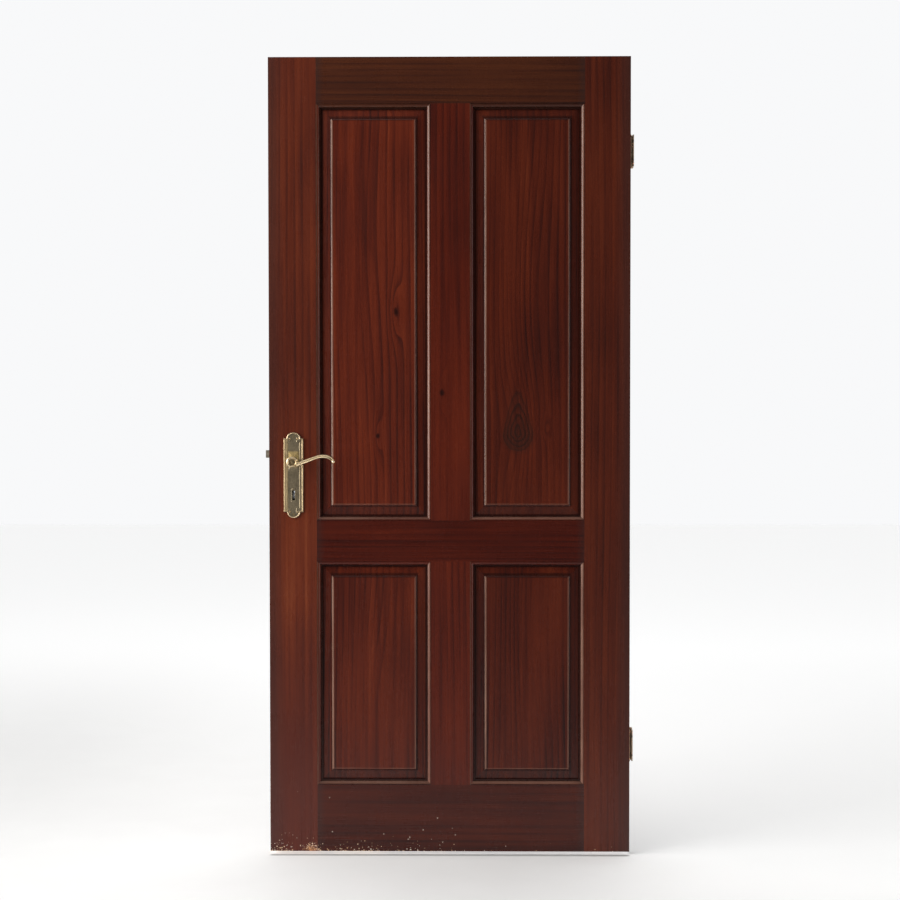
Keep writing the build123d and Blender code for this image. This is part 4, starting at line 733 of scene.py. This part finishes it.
def build_plate(name, sign, body_name):
    step = 0.55
    xs = np.arange(-26.2, 26.2001, step)
    zs = np.arange(861.0, 1083.5, step)
    X, Z = np.meshgrid(xs, zs)
    hole = np.maximum(key_in(X, Z), 9.6 - np.hypot(X, Z - 1007.0))
    screw = np.maximum(3.7 - np.hypot(X, Z - 1072.5), 3.7 - np.hypot(X, Z - 871.0))
    solid = np.minimum(outline_in(X, Z), -np.maximum(hole, screw))
    lim = -0.30 * step

    def total(x, z):
        hh = np.maximum(key_in(x, z), 9.6 - np.hypot(x, z - 1007.0))
        ss = np.maximum(3.7 - np.hypot(x, z - 1072.5), 3.7 - np.hypot(x, z - 871.0))
        return np.minimum(outline_in(x, z), -np.maximum(hh, ss))

    keep = solid > lim
    cell = keep[:-1, :-1] & keep[1:, :-1] & keep[:-1, 1:] & keep[1:, 1:]
    ids = -np.ones(X.shape, int)
    used = np.zeros(X.shape, bool)
    used[:-1, :-1] |= cell
    used[1:, :-1] |= cell
    used[:-1, 1:] |= cell
    used[1:, 1:] |= cell
    ids[used] = np.arange(used.sum())
    px, pz = X[used].copy(), Z[used].copy()
    # vertices of the rim slide onto the true outline
    cnt = np.zeros(X.shape, int)
    cnt[:-1, :-1] += cell
    cnt[1:, :-1] += cell
    cnt[:-1, 1:] += cell
    cnt[1:, 1:] += cell
    border = (cnt[used] < 4)
    for _ in range(4):
        e = 0.05
        f = total(px, pz)
        gx = (total(px + e, pz) - total(px - e, pz)) / (2 * e)
        gz = (total(px, pz + e) - total(px, pz - e)) / (2 * e)
        g2 = np.maximum(gx * gx + gz * gz, 0.2)
        mv = np.clip(f / g2, -0.8 * step, 0.8 * step)
        px = np.where(border, px - mv * gx, px)
        pz = np.where(border, pz - mv * gz, pz)
    H = plate_height(px, pz)
    top = np.stack([px / 1000 + SX, sign * (FACE + H / 1000), pz / 1000], 1)
    low = top.copy()
    low[:, 1] = sign * FACE
    r, c = np.nonzero(cell)
    a, b, d, e_ = ids[r, c], ids[r, c + 1], ids[r + 1, c + 1], ids[r + 1, c]
    faces = np.stack([a, b, d, e_], 1)
    # walls along every border edge
    edges = {}
    for q in faces:
        for i in range(4):
            p, n_ = int(q[i]), int(q[(i + 1) % 4])
            if (n_, p) in edges:
                del edges[(n_, p)]
            else:
                edges[(p, n_)] = 1
    bverts = sorted({v for ed in edges for v in ed})
    remap = {v: len(top) + i for i, v in enumerate(bverts)}
    verts = np.concatenate([top, low[bverts]])
    flist = [tuple(int(v) for v in q) for q in faces]
    for p, n_ in edges:
        flist.append((n_, p, remap[p], remap[n_]))
    if sign > 0:
        flist = [tuple(reversed(q)) for q in flist]
    me = bpy.data.meshes.new(name)
    me.from_pydata([tuple(v) for v in verts], [], flist)
    me.update()
    bm = bmesh.new()
    bm.from_mesh(me)
    for f in bm.faces:
        f.smooth = True
    # crisp where the wall turns over
    for ed in bm.edges:
        if len(ed.link_faces) == 2 and ed.calc_face_angle(0) > math.radians(52):
            ed.smooth = False
    bm.to_mesh(me)
    bm.free()
    o = bpy.data.objects.new(name, me)
    bpy.context.collection.objects.link(o)
    o.data.materials.append(plate_metal)
    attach(o, body_name)
    return o


pf = build_plate("long_plate_front", -1, "door_leaf")
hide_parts("backplate_front")
pb = build_plate("long_plate_back", 1, "door_leaf")
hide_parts("backplate_back")



# ------------------------------------------------------------------ levers
GRIP = [
    (3.0, -9.3, 3.6), (8.5, -8.3, 5.4), (15.0, -5.6, 8.2), (22.0, -2.4, 9.8), (31.0, 1.1, 9.8), (42.0, 5.0, 9.0), (54.0, 9.7, 8.3),
    (63.0, 12.7, 8.3), (72.0, 14.7, 8.7), (81.0, 15.2, 9.0), (90.0, 13.7, 9.2), (97.0, 10.6, 8.9),
    (102.3, 6.4, 8.2), (105.2, 2.2, 7.0),
]
ARM_H = 64.5


def catmull(P, n):
    P = np.array(P, float)
    P = np.vstack([2 * P[0] - P[1], P, 2 * P[-1] - P[-2]])
    out = []
    seg = len(P) - 3
    for i in range(seg):
        for j in range(n):
            t = j / n
            p0, p1, p2, p3 = P[i], P[i + 1], P[i + 2], P[i + 3]
            out.append(0.5 * (2 * p1 + (p2 - p0) * t + (2 * p0 - 5 * p1 + 4 * p2 - p3) * t * t + (3 * p1 - p0 - 3 * p2 + p3) * t**3))
    out.append(P[-2])
    return np.array(out)


def tube(path, frames, ring, cap=True):
    """Mesh from rings: ring(i) gives (side, out) pairs in mm for station i."""
    verts, faces = [], []
    n = len(path)
    m = None
    for i in range(n):
        p, (s, o) = path[i], frames[i]
        pts = ring(i)
        m = len(pts)
        for a, b in pts:
            verts.append(p + s * a + o * b)
    for i in range(n - 1):
        for j in range(m):
            k = (j + 1) % m
            faces.append((i * m + j, i * m + k, (i + 1) * m + k, (i + 1) * m + j))
    if cap:
        for i, flip in ((0, False), (n - 1, True)):
            c = len(verts)
            verts.append(np.mean(verts[i * m:(i + 1) * m], axis=0))
            for j in range(m):
                k = (j + 1) % m
                faces.append((i * m + k, i * m + j, c) if not flip else (i * m + j, i * m + k, c))
    return verts, faces


def ball(c, r, nu=28, nv=18, squash=(1, 1, 1)):
    v, f = [], []
    for i in range(nv + 1):
        th = math.pi * i / nv
        for j in range(nu):
            ph = 2 * math.pi * j / nu
            v.append(np.array([c[0] + r * squash[0] * math.sin(th) * math.cos(ph), c[1] + r * squash[1] * math.sin(th) * math.sin(ph), c[2] + r * squash[2] * math.cos(th)]))
    for i in range(nv):
        for j in range(nu):
            k = (j + 1) % nu
            f.append((i * nu + j, (i + 1) * nu + j, (i + 1) * nu + k, i * nu + k))
    return v, f


def lathe(prof, c, nu=56):
    """Turned piece about +Y through c; prof is (radius, height) in mm."""
    v, f = [], []
    for r, h in prof:
        for j in range(nu):
            ph = 2 * math.pi * j / nu
            v.append(np.array([c[0] + r * math.cos(ph), h, c[1] + r * math.sin(ph)]))
    for i in range(len(prof) - 1):
        for j in range(nu):
            k = (j + 1) % nu
            f.append((i * nu + j, i * nu + k, (i + 1) * nu + k, (i + 1) * nu + j))
    return v, f


def build_lever(name, sign):
    """Lever of the front side for sign -1; heights above the mid-plane grow outwards."""
    V, F = [], []

    def join(vf):
        v, f = vf
        b = len(V)
        V.extend(v)
        F.extend([tuple(i + b for i in q) for q in f])

    q = 8
    G = catmull(GRIP, q)
    path, frames = [], []
    for i in range(len(G)):
        a, b = G[max(i - 1, 0)], G[min(i + 1, len(G) - 1)]
        t = np.array([b[0] - a[0], 0, b[1] - a[1]])
        t /= np.linalg.norm(t)
        side = np.array([-t[2], 0, t[0]])  # up across the grip
        out = np.array([0, 1.0, 0])  # away from the leaf
        path.append(np.array([G[i][0], ARM_H, G[i][1]]))
        frames.append((side, out))
    M = 72

    def ring(i):
        s = i / (len(G) - 1)
        hh = G[i][2] / 2
        taper = 1 - 0.35 * st(np.array(s), 0.90, 1.0)
        dd = 4.5 * float(taper)
        pts = []
        for j in range(M):
            th = 2 * math.pi * j / M
            cs, sn = math.cos(th), math.sin(th)
            e = 2 / 2.5
            a = hh * math.copysign(abs(cs) ** e, cs)
            b = dd * math.copysign(abs(sn) ** e, sn)
            if sn > 0:
                # a hollow runs along the outer face between two raised edges
                u = a / hh
                lift = min(1.0, sn * 2.0)
                if abs(u) < 0.62:
                    b -= 1.75 * math.cos(math.pi * u / 1.24) ** 2 * lift
                b += 0.45 * math.exp(-((abs(u) - 0.74) / 0.17) ** 2) * lift
                b += 0.30 * math.exp(-((u + 0.76) / 0.20) ** 2) * lift
            pts.append((a, b))
        return pts

    join(tube(path, frames, ring))
    # ball end
    join(ball((105.2, ARM_H, 1.6), 4.45))
    # scroll: round bar that grows out of the lower ridge and curls over the neck
    n = 72
    c0 = (-0.4, 0.9)
    pts = []
    for i in range(n + 1):
        t = i / n
        ang = math.radians(300 - 277 * t)
        r = 11.1 + 0.3 * math.sin(math.pi * t) - 0.7 * t + 3.0 * float(st(np.array(t), 0.74, 1.0))
        pts.append((c0[0] + r * math.cos(ang), ARM_H + 1.0 - 0.5 * t, c0[1] + r * math.sin(ang)))
    P = [np.array(p) for p in pts]
    fr = []
    for i in range(len(P)):
        t = P[min(i + 1, len(P) - 1)] - P[max(i - 1, 0)]
        t[1] = 0
        t /= np.linalg.norm(t)
        fr.append((np.array([-t[2], 0, t[0]]), np.array([0, 1.0, 0])))

    def ring2(i):
        t = i / n
        r = 2.05 + 0.75 * math.sin(math.pi * min(1.0, t * 1.15)) ** 1.5
        return [(r * math.cos(2 * math.pi * j / 28), r * 1.08 * math.sin(2 * math.pi * j / 28)) for j in range(28)]

    join(tube(P, fr, ring2))
    e = P[-1]
    join(ball((e[0], e[1], e[2]), 2.2))
    # neck, turned
    prof = [
        (0.0, 17.0), (7.9, 17.0), (8.0, 17.2), (8.0, 29.0), (9.8, 29.05), (10.4, 29.5), (10.6, 30.3), (10.3, 31.2), (9.4, 31.9),
        (8.7, 32.6), (9.2, 33.3), (9.2, 34.2), (8.5, 35.1), (7.7, 37.2), (7.15, 41.0), (7.0, 45.0), (7.3, 49.5), (8.0, 53.0),
        (9.4, 56.0), (11.0, 58.4), (11.6, 59.6), (11.6, 61.4), (10.9, 62.4), (9.8, 62.2), (8.8, 61.2), (7.6, 60.9), (5.4, 61.1), (3.6, 61.7), (1.8, 62.1), (0.0, 62.2),
    ]
    join(lathe(prof, (0.0, 0.0)))
    out = []
    for v in V:
        out.append((v[0] / 1000 + SX, sign * v[1] / 1000, v[2] / 1000 + SZ))
    me = bpy.data.meshes.new(name)
    me.from_pydata(out, [], F)
    bm = bmesh.new()
    bm.from_mesh(me)
    bmesh.ops.remove_doubles(bm, verts=bm.verts, dist=1e-6)
    bmesh.ops.dissolve_degenerate(bm, edges=bm.edges, dist=1e-7)
    bmesh.ops.recalc_face_normals(bm, faces=bm.faces)
    for f in bm.faces:
        f.smooth = True
    for ed in bm.edges:
        if len(ed.link_faces) == 2 and ed.calc_face_angle(0) > math.radians(48):
            ed.smooth = False
    bm.to_mesh(me)
    bm.free()
    o = bpy.data.objects.new(name, me)
    bpy.context.collection.objects.link(o)
    o.data.materials.append(lever_metal)
    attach(o, "handle")
    return o


lf = build_lever("scroll_lever_front", -1)
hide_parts("lever_front")
lb = build_lever("scroll_lever_back", 1)
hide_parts("lever_back")


# ------------------------------------------------------------------ stage
def stage_mat(name, c, rough):
    k = Net(name)
    n = k.noise(k.mapped(k.co, (6, 6, 6)), 1.0, 4.0, 0.5)
    k.put(k.b.inputs["Base Color"], k.ramp(n, [(0.3, tuple(v * 0.97 for v in c)), (0.7, c)]))
    k.put(k.b.inputs["Roughness"], k.m("ADD", rough, k.m("MULTIPLY", n, 0.1)))
    return k.mat


def quad(name, pts, mat):
    me = bpy.data.meshes.new(name)
    me.from_pydata(pts, [], [(0, 1, 2, 3)])
    o = bpy.data.objects.new(name, me)
    bpy.context.collection.objects.link(o)
    me.materials.append(mat)
    return o


FLOOR_Z = -0.008
WORLD_FRONT, WORLD_BACK = 0.05, 0.955
def floor_mat():
    """Pale studio floor with painted light and shade: it glows more towards the backdrop, near the right of the door
    and in a strip under the leaf, and is painted darker in front of the door, on the left under the key lamp and in a
    thin line before the gap.
    """
    k = Net("floor_pale")
    s = k.xyz()
    n = k.noise(k.mapped(k.co, (6, 6, 6)), 1.0, 4.0, 0.5)
    pale = k.ramp(n, [(0.3, (0.80, 0.80, 0.795)), (0.7, (0.82, 0.82, 0.815))])
    # painted shade: the floor is darker in front of the door
    shade = k.m("SUBTRACT", 1.0, k.m("MULTIPLY", k.m("SUBTRACT", 1.0, k.sstep(s[1], -1.7, -0.55)), 0.60))
    # painted light: a glowing strip on the floor where light would come through the gap under the leaf, and a painted
    # thin shadow before it
    under = k.m("SUBTRACT", 1.0, k.sstep(k.m("ABSOLUTE", s[0]), 0.455, 0.468))
    strip = k.m("MULTIPLY", band(k, s[1], -0.014, 0.030, 0.003), under)
    line = k.m("MULTIPLY", band(k, s[1], -0.034, -0.020, 0.004), under)
    shade = k.m("MULTIPLY", shade, k.m("SUBTRACT", 1.0, k.m("MULTIPLY", line, 0.38)))
    # painted shade: darker on the left, where the key lamp lights the floor most
    key_side_shade = k.m("MULTIPLY", k.m("SUBTRACT", 1.0, k.sstep(s[0], -1.6, -0.35)), k.m("SUBTRACT", 1.0, k.sstep(s[1], 0.8, 5.0)))
    shade = k.m("MULTIPLY", shade, k.m("SUBTRACT", 1.0, k.m("MULTIPLY", key_side_shade, 0.31)))
    k.put(k.b.inputs["Base Color"], k.mix(1.0, pale, k.vec(shade, shade, shade), "MULTIPLY"))
    k.put(k.b.inputs["Roughness"], k.m("ADD", 0.6, k.m("MULTIPLY", n, 0.1)))
    k.b.inputs["Specular IOR Level"].default_value = 0.1
    # painted light: the floor glows, more towards the backdrop and near the right of the door
    glow = k.m("ADD", FLOOR_GLOW[0], k.m("MULTIPLY", k.sstep(s[1], -0.6, 4.0), FLOOR_GLOW[1]))
    near_right = k.m("MULTIPLY", k.sstep(s[0], 0.1, 0.7), k.m("SUBTRACT", 1.0, k.sstep(s[1], 0.6, 3.5)))
    glow = k.m("ADD", glow, k.m("MULTIPLY", near_right, FLOOR_GLOW[2]))
    glow = k.m("MULTIPLY", glow, k.sstep(s[1], -1.5, -0.3))
    glow = k.m("MULTIPLY", glow, k.m("SUBTRACT", 1.0, line))
    glow = k.m("ADD", glow, k.m("MULTIPLY", strip, 0.42))
    k.put(k.b.inputs["Emission Color"], k.vec(glow, glow, glow))
    k.b.inputs["Emission Strength"].default_value = 1.0
    return k.mat


FLOOR_GLOW = (0.05, 0.49, 0.15)
quad("floor", [(-12, -12, FLOOR_Z), (12, -12, FLOOR_Z), (12, 12, FLOOR_Z), (-12, 12, FLOOR_Z)], floor_mat())

bpy.context.scene.view_settings.view_transform = "Standard"
bpy.context.scene.view_settings.look = "None"
world = bpy.data.worlds.new("studio") if not bpy.context.scene.world else bpy.context.scene.world
bpy.context.scene.world = world
world.use_nodes = True
wt = world.node_tree
wt.nodes.clear()
w_out = wt.nodes.new("ShaderNodeOutputWorld")
w_bg = wt.nodes.new("ShaderNodeBackground")
w_co = wt.nodes.new("ShaderNodeTexCoord")
w_xyz = wt.nodes.new("ShaderNodeSeparateXYZ")
w_map = wt.nodes.new("ShaderNodeMapRange")
w_map.interpolation_type = "SMOOTHSTEP"
w_map.inputs["From Min"].default_value = -0.25
w_map.inputs["From Max"].default_value = 0.55
w_map.inputs["To Min"].default_value = WORLD_FRONT
w_map.inputs["To Max"].default_value = WORLD_BACK
wt.links.new(w_co.outputs["Generated"], w_xyz.inputs[0])
wt.links.new(w_xyz.outputs[1], w_map.inputs["Value"])
wt.links.new(w_map.outputs[0], w_bg.inputs["Strength"])
w_bg.inputs["Color"].default_value = (0.985, 0.99, 1.0, 1)
wt.links.new(w_bg.outputs[0], w_out.inputs[0])


def area(name, loc, target, size, power, color=(1, 1, 1), spread=None):
    L = bpy.data.lights.new(name, "AREA")
    L.shape = "RECTANGLE"
    L.size, L.size_y = size
    L.energy = power
    L.color = color
    if spread:
        L.spread = math.radians(spread)
    o = bpy.data.objects.new(name, L)
    bpy.context.collection.objects.link(o)
    o.location = loc
    d = Vector(target) - Vector(loc)
    o.rotation_euler = d.to_track_quat("-Z", "Y").to_euler()
    return o


area("key_left", (-3.3, -1.30, 1.70), (0, -0.9, 1.40), (3.6, 2.5), 222, (1.0, 0.985, 0.97))
area("front_high", (-2.3, -3.1, 4.0), (-0.3, 0, 1.0), (1.7, 1.0), 26, (1.0, 0.985, 0.96))
area("top_soft", (-0.6, -2.2, 4.9), (0, -0.1, 0.8), (2.6, 1.4), 22)
area("fill_right", (3.4, -3.0, 1.4), (0, 0, 1.0), (1.0, 2.2), 16, (0.97, 0.98, 1.0))
area("rim_right", (2.5, -0.85, 1.15), (0.46, 0.0, 1.05), (0.7, 2.3), 15, (1.0, 0.98, 0.95))
for hz in HINGE_Z:
    area("knuckle_%04d" % round(hz * 1000), (1.5, 0.000, hz), (0.469, 0.010, hz), (0.03, 0.20), 0.35, (1.0, 0.97, 0.93), 22)

# ------------------------------------------------------------------ camera
F_PX = 1800.0
cam_d = bpy.data.cameras.new("view")
cam_d.sensor_width = 36.0
cam_d.lens = F_PX / 900.0 * 36.0
cam_d.clip_end = 60
cam = bpy.data.objects.new("view", cam_d)
bpy.context.collection.objects.link(cam)
yaw, pitch, roll = math.radians(0.677), math.radians(-1.679), math.radians(-0.037)
right0 = Vector((math.cos(yaw), math.sin(yaw), 0))
fwd0 = Vector((-math.sin(yaw), math.cos(yaw), 0))
zup = Vector((0, 0, 1))
fwd = fwd0 * math.cos(pitch) + zup * math.sin(pitch)
up = -fwd0 * math.sin(pitch) + zup * math.cos(pitch)
r2 = right0 * math.cos(roll) + up * math.sin(roll)
u2 = -right0 * math.sin(roll) + up * math.cos(roll)
mw = Matrix((
    (r2.x, u2.x, -fwd.x, 0.056),
    (r2.y, u2.y, -fwd.y, -4.635),
    (r2.z, u2.z, -fwd.z, 1.172),
    (0, 0, 0, 1),
))
cam.matrix_world = mw
bpy.context.scene.camera = cam
